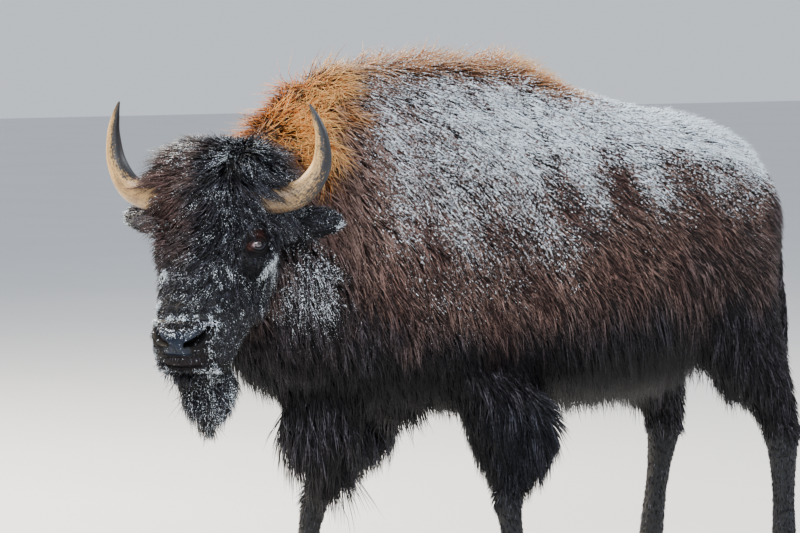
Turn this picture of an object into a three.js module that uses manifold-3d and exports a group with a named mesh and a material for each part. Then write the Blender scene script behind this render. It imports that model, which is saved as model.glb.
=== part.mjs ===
// A life-size American bison bull in its winter coat, walking, with its head turned to its left.
// Millimetres, +Z up, the animal faces -Y and its left side is +X. The origin is on the floor,
// under the middle of the whole figure.
import * as THREE from "three";
import { mergeVertices } from "three/addons/utils/BufferGeometryUtils.js";
import Module from "manifold-3d";

// ---------------------------------------------------------------- driving sizes
const GAP = 0.35; // clearance between neighbouring solids
const HUMP_HEIGHT = 1750; // floor to the hair on the hump
const HEAD_AT = new THREE.Vector3(130, -1010, 1338); // between the horn bases
const HEAD_YAW = 31; // degrees the head is turned to the animal's left
const EYE_RADIUS = 21;
const EYE_AT = { side: 152, forward: 26, up: -140 }; // in the head's own frame
// The thinly haired hollow that the eye looks out of: how far its centre is outside and before the
// eye's, and its radii sideways, forward and up.
const EYE_HOLLOW = { out: 38, before: 26, side: 44, forward: 46, up: 56 };
const LEG_SIDE = { front: 205, hind: 200 }; // how far each foot stands from the midline
const HOOF_HEIGHT = 82;
const CLEFT_WIDTH = 9;
const FAR = 4000; // half the size of a cutting block

const COLOURS = {
  coat: "#4b3227",
  dark: "#17110f",
  horn: "#b4935f",
  hoof: "#1d1a18",
  eye: "#160d0a",
  nose: "#22262e",
};

const wasm = await Module();
wasm.setup();

// ---------------------------------------------------------------- solids
// A closed three.js geometry as a manifold-3d solid.
function solidOf(geometry) {
  const bare = geometry.clone();
  for (const name of ["normal", "uv"]) bare.deleteAttribute(name);
  const merged = mergeVertices(bare, 1e-3);
  return new wasm.Manifold(
    new wasm.Mesh({
      numProp: 3,
      vertProperties: merged.attributes.position.array,
      triVerts: new Uint32Array(merged.index.array),
    }),
  );
}

// A solid as a three.js geometry.
function geometryOf(solid) {
  const mesh = solid.getMesh();
  const geometry = new THREE.BufferGeometry();
  geometry.setAttribute("position", new THREE.BufferAttribute(mesh.vertProperties, 3));
  geometry.setIndex(new THREE.BufferAttribute(mesh.triVerts, 1));
  geometry.computeVertexNormals();
  return geometry;
}

// The values between key rows [at, a, b, ...]: a cubic through them whose slope at a row is that
// of the line between its neighbours, so a shape runs smoothly through its stations.
function through(rows) {
  const slope = (k, c) => {
    const low = rows[Math.max(k - 1, 0)];
    const high = rows[Math.min(k + 1, rows.length - 1)];
    return (high[c] - low[c]) / (high[0] - low[0]);
  };
  return (at) => {
    const k = rows.findIndex((row, i) => i === rows.length - 2 || at < rows[i + 1][0]);
    const [low, high] = [rows[k], rows[k + 1]];
    const span = high[0] - low[0];
    const t = (at - low[0]) / span;
    return low.slice(1).map((value, i) => {
      const c = i + 1;
      return (
        (2 * t ** 3 - 3 * t ** 2 + 1) * value +
        (t ** 3 - 2 * t ** 2 + t) * span * slope(k, c) +
        (3 * t ** 2 - 2 * t ** 3) * high[c] +
        (t ** 3 - t ** 2) * span * slope(k + 1, c)
      );
    });
  };
}

// A closed skin over rings of points, with a pole at each end. Ring k is ringAt(k / steps), a
// function of the angle round it.
function skinOver(ringAt, steps, around) {
  const points = [];
  const faces = [];
  for (let k = 0; k <= steps; k++) {
    const ring = ringAt(k / steps);
    for (let j = 0; j < around; j++) points.push(ring((2 * Math.PI * j) / around));
  }
  const middle = (first) =>
    points
      .slice(first, first + around)
      .reduce((sum, p) => sum.add(p), new THREE.Vector3())
      .divideScalar(around);
  const [start, end] = [middle(0), middle(steps * around)];
  points.push(start, end);
  for (let j = 0; j < around; j++) {
    const next = (j + 1) % around;
    for (let k = 0; k < steps; k++) {
      const [a, b] = [k * around + j, k * around + next];
      faces.push(a, b, a + around, b, b + around, a + around);
    }
    faces.push(points.length - 2, next, j);
    faces.push(points.length - 1, steps * around + j, steps * around + next);
  }
  const geometry = new THREE.BufferGeometry().setFromPoints(points);
  geometry.setIndex(faces);
  const solid = solidOf(geometry);
  if (solid.volume() > 0) return solid;
  const turned = faces.map((v, i) => faces[i % 3 === 0 ? i : i % 3 === 1 ? i + 1 : i - 1]);
  geometry.setIndex(turned);
  return solidOf(geometry);
}

// A plain place in the part.
const at = (x, y, z) => new THREE.Vector3(x, y, z);

// cos or sin raised to 2 / fullness with its sign kept, which squares off an ellipse.
const bulge = (value, fullness) => Math.sign(value) * Math.abs(value) ** (2 / fullness);

// A box-shaped block between two corners, turned about a point when a turn is given.
function block(low, high, turn = 0, about = new THREE.Vector3()) {
  const size = new THREE.Vector3().subVectors(high, low);
  const box = new THREE.BoxGeometry(size.x, size.y, size.z);
  const middle = new THREE.Vector3().addVectors(low, high).divideScalar(2);
  box.translate(middle.x, middle.y, middle.z);
  box.rotateZ(THREE.MathUtils.degToRad(turn));
  box.translate(about.x, about.y, about.z);
  return solidOf(box);
}

// Everything between two heights.
const layer = (low, high) => block(at(-FAR, -FAR, low), at(FAR, FAR, high));

// ---------------------------------------------------------------- trunk and neck
// Stations from the throat to the rump: x, y, yaw of the section, top, bottom, half width, height
// of the widest place, and how much the top is pinched in, as over a hump.
const TRUNK = through([
  [0, 96, -930, 29, 1452, 880, 105, 1150, 0.12],
  [1, 62, -835, 24, 1525, 785, 205, 1100, 0.3],
  [2, 22, -690, 13, 1655, 715, 285, 1050, 0.42],
  [3, 4, -530, 4, 1738, 680, 335, 1010, 0.5],
  [4, 0, -280, 0, HUMP_HEIGHT, 655, 358, 990, 0.52],
  [5, 0, 20, 0, 1738, 665, 366, 985, 0.46],
  [6, 0, 300, 0, 1665, 680, 372, 1010, 0.34],
  [7, 0, 600, 0, 1592, 706, 350, 1060, 0.22],
  [8, 0, 880, 0, 1528, 770, 296, 1130, 0.12],
  [9, 0, 1070, 0, 1446, 850, 236, 1160, 0.06],
  [10, 0, 1175, 0, 1325, 960, 150, 1160, 0],
  [11, 0, 1208, 0, 1230, 1060, 66, 1145, 0],
]);
const TRUNK_STEPS = 26;
const TRUNK_AROUND = 24;
const TRUNK_FULLNESS = 2.15;

function trunk(grow = 0) {
  return skinOver(
    (share) => {
      const [x, y, yaw, top, bottom, half, wide, pinch] = TRUNK(share * 11);
      const turn = THREE.MathUtils.degToRad(yaw);
      return (angle) => {
        const up = Math.sin(angle);
        const narrow = 1 - pinch * Math.max(up, 0) ** 1.6;
        const side = (half * narrow + grow) * bulge(Math.cos(angle), TRUNK_FULLNESS);
        const rise = (up > 0 ? top - wide : wide - bottom) + grow;
        return new THREE.Vector3(
          x + side * Math.cos(turn),
          y + side * Math.sin(turn) + grow * (2 * share - 1),
          wide + rise * bulge(up, TRUNK_FULLNESS),
        );
      };
    },
    TRUNK_STEPS,
    TRUNK_AROUND,
  );
}

// ---------------------------------------------------------------- head
// A place in the head's own frame, side to its left, forward and up, as a place in the part.
function atHead(side, forward, up) {
  const turn = THREE.MathUtils.degToRad(HEAD_YAW);
  return new THREE.Vector3(
    HEAD_AT.x + side * Math.cos(turn) + forward * Math.sin(turn),
    HEAD_AT.y + side * Math.sin(turn) - forward * Math.cos(turn),
    HEAD_AT.z + up,
  );
}

// Stations from the crown to the chin: the front point (forward, up), the back point (forward, up),
// the half width and how square the section is.
const HEAD = through([
  [0, -35, 182, -115, 170, 96, 2],
  [1, 40, 148, -190, 100, 170, 2.2],
  [2, 88, 80, -232, 0, 196, 2.3],
  [3, 112, -5, -245, -110, 202, 2.3],
  [4, 124, -90, -236, -220, 195, 2.3],
  [5, 144, -178, -190, -318, 168, 2.3],
  [6, 174, -262, -108, -398, 138, 2.3],
  [7, 218, -335, -34, -455, 118, 2.7],
  [8, 249, -392, 14, -494, 112, 3],
  [9, 234, -460, 44, -526, 98, 2.7],
  [10, 176, -512, 62, -548, 62, 2.2],
]);
const HEAD_STEPS = 22;
const HEAD_AROUND = 20;

function head(grow = 0) {
  return skinOver(
    (share) => {
      const [f1, u1, f2, u2, half, fullness] = HEAD(share * 10);
      const [forward, up] = [(f1 + f2) / 2, (u1 + u2) / 2];
      const reach = Math.hypot(f1 - f2, u1 - u2) / 2;
      const stretch = (reach + grow) / reach;
      return (angle) => {
        const out = bulge(Math.sin(angle), fullness) * stretch;
        return atHead(
          (half + grow) * bulge(Math.cos(angle), fullness),
          forward + ((f1 - f2) / 2) * out,
          up + ((u1 - u2) / 2) * out - grow * (2 * share - 1),
        );
      };
    },
    HEAD_STEPS,
    HEAD_AROUND,
  );
}

// A limb along a path of stations [at, x, y, z, fore-and-aft radius, sideways radius], with level
// sections. toPart places each point.
function levelLimb(stations, steps, around, toPart, fullness = 2) {
  const station = through(stations);
  const last = stations[stations.length - 1][0];
  return skinOver(
    (share) => {
      const [x, y, z, long, wide] = station(share * last);
      return (angle) =>
        toPart(
          x + wide * bulge(Math.cos(angle), fullness),
          y + long * bulge(Math.sin(angle), fullness),
          z,
        );
    },
    steps,
    around,
  );
}

// The beard hangs under the chin: x is to the head's left, y is back from its front.
function beard(grow = 0) {
  return levelLimb(
    [
      [0, 0, -50, -440, 80, 66],
      [1, 0, -44, -525, 120, 94],
      [2, 0, -36, -595, 106, 86],
      [3, 0, -34, -648, 62, 54],
      [4, 0, -34, -684, 12, 12],
    ].map(([at, x, y, z, long, wide]) => [at, x, y, z, long + grow, wide + grow]),
    7,
    12,
    (x, y, z) => atHead(x, -y, z),
  );
}

// The mane of the brisket hangs between and before the forelegs.
function chestMane() {
  return levelLimb(
    [
      [0, 20, -540, 860, 150, 130],
      [1, 18, -550, 740, 172, 160],
      [2, 14, -550, 630, 172, 150],
      [3, 10, -540, 540, 140, 110],
      [4, 8, -520, 478, 56, 40],
    ],
    7,
    12,
    at,
  );
}

// A tapered horn or ear: stations [at, side, forward, up, radius, thickness] in the head's frame.
// Its sections stand square to its path, and sign is 1 on the left side and -1 on the right.
function curvedTaper(stations, steps, around, sign) {
  const station = through(stations);
  const last = stations[stations.length - 1][0];
  const place = (t) => {
    const [side, forward, up] = station(t);
    return atHead(sign * side, forward, up);
  };
  const front = atHead(0, 1, 0).sub(atHead(0, 0, 0));
  return skinOver(
    (share) => {
      const t = share * last;
      const [, , , radius, thickness] = station(t);
      const step = 0.01;
      const along = place(Math.min(t + step, last)).sub(place(Math.max(t - step, 0))).normalize();
      const across = new THREE.Vector3().crossVectors(along, front).normalize();
      const out = new THREE.Vector3().crossVectors(across, along).normalize();
      const middle = place(t);
      return (angle) =>
        middle
          .clone()
          .addScaledVector(across, radius * Math.cos(angle))
          .addScaledVector(out, thickness * Math.sin(angle));
    },
    steps,
    around,
  );
}

// The horns leave the head sideways, turn up and close in a little at the tips.
const horn = (sign) =>
  curvedTaper(
    [
      [0, 128, 8, -4, 46, 45],
      [1, 205, 2, -8, 44, 43],
      [2, 282, -16, 14, 38, 37],
      [3, 334, -30, 84, 30, 29],
      [4, 342, -24, 168, 20, 19],
      [5, 328, -12, 228, 11, 11],
      [6, 310, -2, 271, 2, 2],
    ],
    12,
    10,
    sign,
  );

// The ears stand out behind and below the horns, broad and rounded with hair.
const ear = (sign) =>
  curvedTaper(
    [
      [0, 130, -80, -74, 32, 24],
      [1, 200, -98, -80, 48, 30],
      [2, 268, -112, -82, 57, 34],
      [3, 326, -124, -76, 49, 28],
      [4, 360, -130, -70, 16, 13],
    ],
    8,
    10,
    sign,
  );

const eye = (sign, grow = 0) => {
  const ball = new THREE.SphereGeometry(EYE_RADIUS + grow, 12, 8);
  const centre = atHead(sign * EYE_AT.side, EYE_AT.forward, EYE_AT.up);
  ball.translate(centre.x, centre.y, centre.z);
  return solidOf(ball);
};

const eyeHollow = (sign) => {
  const hollow = new THREE.SphereGeometry(1, 12, 8);
  hollow.scale(EYE_HOLLOW.side, EYE_HOLLOW.forward, EYE_HOLLOW.up);
  hollow.rotateZ(THREE.MathUtils.degToRad(HEAD_YAW));
  const centre = atHead(
    sign * (EYE_AT.side + EYE_HOLLOW.out),
    EYE_AT.forward + EYE_HOLLOW.before,
    EYE_AT.up,
  );
  hollow.translate(centre.x, centre.y, centre.z);
  return solidOf(hollow);
};

// ---------------------------------------------------------------- legs
// A leg's rows [at, x, y, z, ...] with its foot swung back by stride. The swing starts under the
// joint at height pivot and grows fastest there, so the limb bows as a walking one does.
const SWING_POWER = 0.55;
function swing(rows, pivot, stride) {
  return rows.map(([at, x, y, z, ...radii]) => {
    const share = THREE.MathUtils.clamp((pivot - z) / pivot, 0, 1) ** SWING_POWER;
    return [at, x, y + stride * share, z, ...radii];
  });
}

// Foreleg stations down to the hoof, with the long hair that hangs behind it to the knee.
function foreleg(sign, stride) {
  const side = sign * LEG_SIDE.front;
  const rows = [
    [0, side * 0.9, -200, 1000, 110, 60],
    [1, side * 0.98, -190, 860, 165, 92],
    [2, side * 1.04, -160, 720, 196, 132],
    [3, side * 1.02, -145, 590, 196, 126],
    [4, side, -165, 490, 152, 108],
    [5, side, -205, 425, 94, 82],
    [6, side, -232, 365, 54, 52],
    [7, side, -240, 240, 41, 38],
    [8, side, -242, 150, 50, 46],
    [9, side, -252, 100, 46, 46],
    [10, side, -264, 70, 55, 52],
  ];
  const swung = swing(rows, 850, stride);
  return { solid: levelLimb(swung, 18, 12, at), foot: swung[10], thick: swung[3] };
}

// Hind leg stations: the thigh, the hock behind it and the straight shank.
function hindLeg(sign, stride) {
  const side = sign * LEG_SIDE.hind;
  const rows = [
    [0, side * 0.6, 880, 1330, 80, 50],
    [1, side * 0.9, 885, 1200, 190, 105],
    [2, side, 880, 1040, 216, 130],
    [3, side, 884, 880, 206, 124],
    [4, side, 925, 730, 166, 104],
    [5, side, 985, 610, 122, 80],
    [6, side, 1026, 510, 80, 58],
    [7, side, 1022, 420, 54, 46],
    [8, side, 1010, 270, 43, 40],
    [9, side, 1000, 155, 50, 46],
    [10, side, 985, 102, 46, 46],
    [11, side, 972, 70, 55, 52],
  ];
  const swung = swing(rows, 900, stride);
  return { solid: levelLimb(swung, 18, 12, at), foot: swung[11], thick: swung[3] };
}

// A cloven hoof under a foot station: it widens to a flat sole, and a cleft parts its toes in front.
function hoof([, x, y]) {
  const whole = levelLimb(
    [
      [0, x, y + 4, HOOF_HEIGHT, 52, 49],
      [1, x, y - 6, HOOF_HEIGHT / 2, 64, 57],
      [2, x, y - 12, 0, 72, 62],
    ],
    3,
    16,
    at,
    2.5,
  );
  const cleft = block(
    at(x - CLEFT_WIDTH / 2, y - 120, -10),
    at(x + CLEFT_WIDTH / 2, y + 30, HOOF_HEIGHT * 0.8),
  );
  return whole.subtract(cleft);
}

const tail = () =>
  levelLimb(
    [
      [0, 0, 1165, 1300, 40, 42],
      [1, 0, 1222, 1235, 36, 38],
      [2, 0, 1252, 1120, 32, 34],
      [3, 4, 1262, 980, 32, 34],
      [4, 8, 1262, 850, 44, 46],
      [5, 10, 1258, 730, 40, 40],
      [6, 10, 1254, 650, 10, 10],
    ],
    12,
    8,
    at,
  );

// ---------------------------------------------------------------- assembly
const bison = new THREE.Group();

function add(name, solid, colour, roughness = 0.9) {
  const material = new THREE.MeshStandardMaterial({ color: COLOURS[colour], roughness });
  const mesh = new THREE.Mesh(geometryOf(solid), material);
  mesh.name = name;
  bison.add(mesh);
}

const SIDES = { left: 1, right: -1 };
const headGrown = head(GAP);
const trunkGrown = trunk(GAP);

// The head, parted into skull, muzzle and lower jaw.
const MUZZLE_UP = -300; // height of the cut behind the muzzle, in the head's frame
const MOUTH_UP = -488; // height of the mouth
const sockets = [1, -1].reduce((cut, sign) => cut.add(eye(sign, GAP)).add(eyeHollow(sign)), eye(1, GAP));
const skull = head().subtract(sockets);
const muzzleCut = HEAD_AT.z + MUZZLE_UP;
const mouthCut = HEAD_AT.z + MOUTH_UP;
add("head", skull.intersect(layer(muzzleCut + GAP, FAR)), "dark");
add("muzzle", skull.intersect(layer(mouthCut + GAP, muzzleCut)), "nose", 0.5);
add("jaw", skull.intersect(layer(-FAR, mouthCut)), "dark");
add("beard", beard().subtract(headGrown), "dark");
for (const [name, sign] of Object.entries(SIDES)) {
  add(`horn_${name}`, horn(sign).subtract(headGrown), "horn", 0.45);
  add(`ear_${name}`, ear(sign).subtract(headGrown).subtract(trunkGrown), "dark");
  add(`eye_${name}`, eye(sign), "eye", 0.1);
}

// The trunk, legs and brisket mane are one body, parted by flat cuts: each piece is what is left
// of the body inside its block, and the next cut starts a gap further on.
const KNEE = 400;
const HOCK = 520;
const STRIDE = { front_left: 330, front_right: -260, hind_left: 150, hind_right: -110 };
const LEG_TOP = { front: 790, hind: 1000 };
const LEG_INSIDE = 72; // how far from the midline a leg's block starts
const BRISKET = { top: 690, back: -280 };
const SHOULDER_CUT = 60;
const LOIN_CUT = 700;
const NECK_CUT = { y: -640, yaw: 12 };

const legs = Object.entries(STRIDE).map(([name, stride]) => {
  const [end, side] = name.split("_");
  const sign = SIDES[side];
  const limb = end === "front" ? foreleg(sign, stride) : hindLeg(sign, stride);
  return { name, end, sign, ...limb };
});
const floorLayer = layer(HOOF_HEIGHT + GAP, FAR);
let body = legs
  .reduce((sum, leg) => sum.add(leg.solid), trunk().add(chestMane()))
  .subtract(headGrown)
  .subtract(beard(GAP))
  .intersect(floorLayer);

// Takes the piece of the body between two corners, turned about the upright through a point.
function take(name, low, high, colour, turn = 0, about = new THREE.Vector3()) {
  const gap = new THREE.Vector3(GAP, GAP, GAP);
  add(name, body.intersect(block(low, high, turn, about)), colour);
  const cut = block(low.clone().sub(gap), high.clone().add(gap), turn, about);
  body = body.subtract(cut);
}

for (const { name, end, sign, foot, thick } of legs) {
  const joint = end === "front" ? KNEE : HOCK;
  const [inner, outer] = [LEG_INSIDE * sign, 600 * sign];
  const [low, high] = [Math.min(inner, outer), Math.max(inner, outer)];
  const [front, back] = end === "front" ? [thick[2] - 240, thick[2] + 215] : [LOIN_CUT + GAP, FAR];
  take(`lower_leg_${name}`, at(low, foot[2] - 300, 0), at(high, foot[2] + 300, joint), "dark");
  take(`upper_leg_${name}`, at(low, front, joint), at(high, back, LEG_TOP[end]), "dark");
  add(`hoof_${name}`, hoof(foot), "hoof", 0.5);
}
take("brisket_mane", at(-FAR, -FAR, 0), at(FAR, BRISKET.back, BRISKET.top), "dark");
take("neck", at(-FAR, -FAR, 0), at(FAR, 0, FAR), "dark", NECK_CUT.yaw, at(0, NECK_CUT.y, 0));
take("forequarters", at(-FAR, -FAR, 0), at(FAR, SHOULDER_CUT, FAR), "coat");
take("barrel", at(-FAR, -FAR, 0), at(FAR, LOIN_CUT, FAR), "coat");
const rump = trunk(GAP);
take("hindquarters", at(-FAR, -FAR, 0), at(FAR, FAR, FAR), "coat");
add("tail", tail().subtract(rump), "dark");

// The figure is centred over the origin.
const bounds = new THREE.Box3().setFromObject(bison);
const centre = bounds.getCenter(new THREE.Vector3());
bison.position.set(-centre.x, -centre.y, -bounds.min.z);

export default bison;
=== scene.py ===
"""An American bison bull in its winter coat, life size, standing still in mid stride.

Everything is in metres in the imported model's frame: +Z up, the animal faces -Y, its left is +X.
"""

import logging
import math
from dataclasses import dataclass, field
from enum import Enum
from typing import Any, Callable, Sequence

import bpy
import numpy as np
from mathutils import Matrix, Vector


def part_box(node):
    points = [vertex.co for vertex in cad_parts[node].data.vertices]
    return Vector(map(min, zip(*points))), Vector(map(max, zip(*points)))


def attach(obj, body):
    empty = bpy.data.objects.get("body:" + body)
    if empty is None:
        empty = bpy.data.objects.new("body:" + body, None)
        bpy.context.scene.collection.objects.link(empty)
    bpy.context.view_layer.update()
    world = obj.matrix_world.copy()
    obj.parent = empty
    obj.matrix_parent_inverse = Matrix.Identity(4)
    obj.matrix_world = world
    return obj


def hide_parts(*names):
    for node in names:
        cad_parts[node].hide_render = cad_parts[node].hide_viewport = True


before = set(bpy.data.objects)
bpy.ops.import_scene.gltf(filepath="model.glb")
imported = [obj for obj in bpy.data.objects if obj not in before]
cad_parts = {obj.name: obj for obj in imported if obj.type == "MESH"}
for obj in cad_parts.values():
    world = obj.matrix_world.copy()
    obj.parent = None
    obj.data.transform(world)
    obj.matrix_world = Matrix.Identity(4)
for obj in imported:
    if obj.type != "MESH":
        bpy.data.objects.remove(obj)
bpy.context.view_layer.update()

Array = np.ndarray
Pair = tuple[Array, Array]
Fields = dict[str, Array]
Random = np.random.Generator
Piece = bpy.types.Object
Finish = bpy.types.Material
log = logging.getLogger("bison")

# Where the head's frame stands before the whole figure is centred over the origin.
HEAD_PLACE = np.array([0.130, -1.010, 1.338])
HEAD_YAW = math.radians(31)
EYE_PLACE = np.array([0.152, 0.026, -0.140])  # side, forward, up of the left eye in that frame
ASIDE = (0.9135, -0.4067)  # out past a cheek, as parts of the head's side and forward
RUMPWARD = (0.545, 0.839)  # back over a hip, as parts of the body's side and back
# The side that faces the key light: golden hair turned this way is painted darker, painted shade that holds
# back the key light there.
KEY_LIGHT_SIDE = np.array([-0.80, -0.60, 0.0])  # to the animal's right and ahead


def ramp(value: Array, low: float, high: float) -> Array:
    """A smooth step from 0 where value is low to 1 where it is high; low may be the larger."""
    t = np.clip((value - low) / (high - low), 0.0, 1.0)
    return t * t * (3 - 2 * t)


def bell(*away: Array) -> Array:
    """A bell curve of one or more distances, each in its own widths: 1 in the middle."""
    total = -(away[0] ** 2)
    for more in away[1:]:
        total = total - more**2
    return np.exp(total)


def around(count: int) -> Array:
    """That many angles, evenly round a circle."""
    return np.linspace(0, 2 * math.pi, count, endpoint=False)


def unit(vectors: Array) -> Array:
    """Each row scaled to length 1."""
    return vectors / np.maximum(np.linalg.norm(vectors, axis=-1, keepdims=True), 1e-12)


def flatten_to(vectors: Array, normals: Array) -> Array:
    """Each row with its part along the unit normal taken away."""
    return vectors - normals * np.sum(vectors * normals, axis=-1, keepdims=True)


def through(keys: Sequence[Sequence[float]], at: Array) -> Array:
    """Cubic curves through key rows [at, a, b, ...].

    The slope at a row is that of the line between its neighbours, so a curve runs smoothly
    through its stations.

    Args:
        keys: The key rows, in rising order of their first value.
        at: Where to read the curves.

    Returns:
        One row for each place, with one column for each curve.
    """
    table = np.array(keys, float)
    x, y = table[:, 0], table[:, 1:]
    low, high = np.maximum(np.arange(len(x)) - 1, 0), np.minimum(np.arange(len(x)) + 1, len(x) - 1)
    slope = (y[high] - y[low]) / (x[high] - x[low])[:, None]
    k = np.clip(np.searchsorted(x, at, side="right") - 1, 0, len(x) - 2)
    span = (x[k + 1] - x[k])[..., None]
    t = ((at - x[k])[..., None]) / span
    return (
        (2 * t**3 - 3 * t**2 + 1) * y[k]
        + (t**3 - 2 * t**2 + t) * span * slope[k]
        + (3 * t**2 - 2 * t**3) * y[k + 1]
        + (t**3 - t**2) * span * slope[k + 1]
    )


def cell_noise(points: Array, size: float, seed: int) -> Pair:
    """The nearest of the random centres that a grid of cells holds, one in each cell.

    A cell's centre is moved inside it by a hash of the cell's whole numbers, and a point looks at
    its own cell and the 26 round it. The big numbers only scramble it.

    Args:
        points: The places to look up.
        size: The side of a cell.
        seed: Picks one pattern of centres.

    Returns:
        The nearest centre of each point, and three numbers from 0 to 1 that belong to it.
    """
    base = np.floor(points / size).astype(np.int64)
    best = np.full(len(points), np.inf)
    centre = np.zeros_like(points)
    marks = np.zeros_like(points)
    for step in np.ndindex(3, 3, 3):
        cell = base + np.array(step) - 1
        mixed = cell[:, 0] * 73856093 ^ cell[:, 1] * 19349663 ^ cell[:, 2] * 83492791 ^ seed * 2654435
        draws = []
        for k in range(6):
            h = (mixed + k * 374761393) & 0xFFFFFFFF
            h = ((h ^ (h >> 15)) * 2246822519) & 0xFFFFFFFF
            h = ((h ^ (h >> 13)) * 3266489917) & 0xFFFFFFFF
            draws.append(((h ^ (h >> 16)) & 0xFFFFFF) / 0xFFFFFF)
        spot = (cell + 0.15 + 0.7 * np.stack(draws[:3], 1)) * size
        gap = np.sum((points - spot) ** 2, axis=1)
        nearer = gap < best
        best[nearer] = gap[nearer]
        centre[nearer] = spot[nearer]
        marks[nearer] = np.stack(draws[3:], 1)[nearer]
    return centre, marks


def smooth_noise(points: Array, size: float, seed: int) -> Array:
    """A wavy value, mostly from -1 to 1: sines in random directions, about size from crest to crest."""
    rng = np.random.default_rng(seed)
    total = np.zeros(len(points))
    waves = 7
    for _ in range(waves):
        way = unit(rng.normal(size=3)) / size * 2 * math.pi * rng.uniform(0.6, 1.5)
        total += np.sin(points @ way + rng.uniform(0, 2 * math.pi))
    return total / math.sqrt(waves)


@dataclass(frozen=True)
class HeadFrame:
    """The head's own axes: side to its left, forward and up, from between the horns' roots."""

    origin: Array
    side: Array
    forward: Array

    @staticmethod
    def found() -> "HeadFrame":
        """The frame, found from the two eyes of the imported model."""
        eyes = [(np.array(a) + np.array(b)) / 2 for a, b in map(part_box, ("eye_left", "eye_right"))]
        side = unit(eyes[0] - eyes[1])
        forward = np.array([math.sin(HEAD_YAW), -math.cos(HEAD_YAW), 0.0])
        middle = (eyes[0] + eyes[1]) / 2
        origin = middle - forward * EYE_PLACE[1] - np.array([0, 0, EYE_PLACE[2]])
        return HeadFrame(origin, side, forward)

    @property
    def shift(self) -> Array:
        """How far the figure was moved to centre it."""
        return self.origin - HEAD_PLACE

    def at(self, place: Array) -> Array:
        """Rows of side, forward and up as places in the model."""
        place = np.asarray(place, float)
        out = self.origin + place[..., :1] * self.side + place[..., 1:2] * self.forward
        out[..., 2] += place[..., 2]
        return out

    def turned(self, way: Array) -> Array:
        """Rows of side, forward and up as directions in the model."""
        return self.at(way) - self.origin

    def local(self, points: Array) -> Array:
        """Places in the model as rows of side, forward and up."""
        off = points - self.origin
        return np.stack([off @ self.side, off @ self.forward, off[:, 2]], axis=1)


# ---- meshes
def new_mesh(
    name: str, points: Array, faces: Array, finish: Finish | None = None, smooth: bool = True
) -> Piece:
    """A mesh object at the origin from whole arrays.

    Args:
        name: The piece's name.
        points: One row for each vertex.
        faces: One row for each face, all with the same number of corners.
        finish: The material, if it has one.
        smooth: Whether the faces are shaded smooth.

    Returns:
        The object, linked to the scene.
    """
    mesh = bpy.data.meshes.new(name)
    count, corners = faces.shape
    mesh.vertices.add(len(points))
    mesh.vertices.foreach_set("co", np.ascontiguousarray(points, np.float32).ravel())
    mesh.loops.add(count * corners)
    mesh.loops.foreach_set("vertex_index", np.ascontiguousarray(faces, np.int32).ravel())
    mesh.polygons.add(count)
    mesh.polygons.foreach_set("loop_start", np.arange(count, dtype=np.int32) * corners)
    mesh.polygons.foreach_set("use_smooth", np.full(count, smooth))
    mesh.update(calc_edges=True)
    if finish:
        mesh.materials.append(finish)
    obj = bpy.data.objects.new(name, mesh)
    bpy.context.scene.collection.objects.link(obj)
    return obj


def grid_faces(rows: int, columns: int, closed: bool) -> Array:
    """The quads of a grid of points, joined round its columns where it is closed."""
    r = np.arange(rows - 1)[:, None]
    c = np.arange(columns if closed else columns - 1)[None, :]
    nxt = (c + 1) % columns
    return np.stack(
        [r * columns + c, r * columns + nxt, (r + 1) * columns + nxt, (r + 1) * columns + c], -1
    ).reshape(-1, 4)


def set_number(obj: Piece, name: str, values: Array) -> None:
    """Keeps one number for each vertex as an attribute."""
    layer = obj.data.attributes.new(name, "FLOAT", "POINT")
    layer.data.foreach_set("value", np.ascontiguousarray(values, np.float32))


def set_triple(obj: Piece, name: str, values: Array) -> None:
    """Keeps three numbers for each vertex as an attribute."""
    layer = obj.data.attributes.new(name, "FLOAT_VECTOR", "POINT")
    layer.data.foreach_set("vector", np.ascontiguousarray(values, np.float32).ravel())


def points_of(mesh: bpy.types.Mesh) -> Array:
    """Every vertex's place."""
    out = np.empty(len(mesh.vertices) * 3, np.float32)
    mesh.vertices.foreach_get("co", out)
    return out.reshape(-1, 3).astype(float)


def triangles_of(mesh: bpy.types.Mesh) -> Array:
    """Every triangle's three vertices."""
    mesh.calc_loop_triangles()
    out = np.empty(len(mesh.loop_triangles) * 3, np.int32)
    mesh.loop_triangles.foreach_get("vertices", out)
    return out.reshape(-1, 3)


def vertex_normals(points: Array, triangles: Array) -> Array:
    """Each vertex's normal, the area-weighted mean of its triangles'."""
    a, b, c = (points[triangles[:, k]] for k in range(3))
    flat = np.cross(b - a, c - a)
    total = [sum(np.bincount(triangles[:, k], way, len(points)) for k in range(3)) for way in flat.T]
    return unit(np.stack(total, axis=1))


def neighbour_mean(values: Array, edges: Array) -> Array:
    """The mean of each vertex's neighbours along the edges."""
    flat = values.reshape(len(values), -1)
    a, b = edges[:, 0], edges[:, 1]
    ways = np.bincount(a, minlength=len(flat)) + np.bincount(b, minlength=len(flat))
    sums = [np.bincount(a, row[b], len(row)) + np.bincount(b, row[a], len(row)) for row in flat.T]
    return (np.stack(sums, axis=1) / np.maximum(ways, 1)[:, None]).reshape(values.shape)


def relaxed(points: Array, edges: Array, rounds: int, weight: Array | float = 1.0) -> Array:
    """Smoothed points that keep their volume: each round moves in by 0.5, then out by 0.52."""
    weight = np.broadcast_to(np.asarray(weight, float), (len(points),))[:, None]
    for _ in range(rounds):
        points = points + 0.5 * weight * (neighbour_mean(points, edges) - points)
        points = points - 0.52 * weight * (neighbour_mean(points, edges) - points)
    return points


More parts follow.
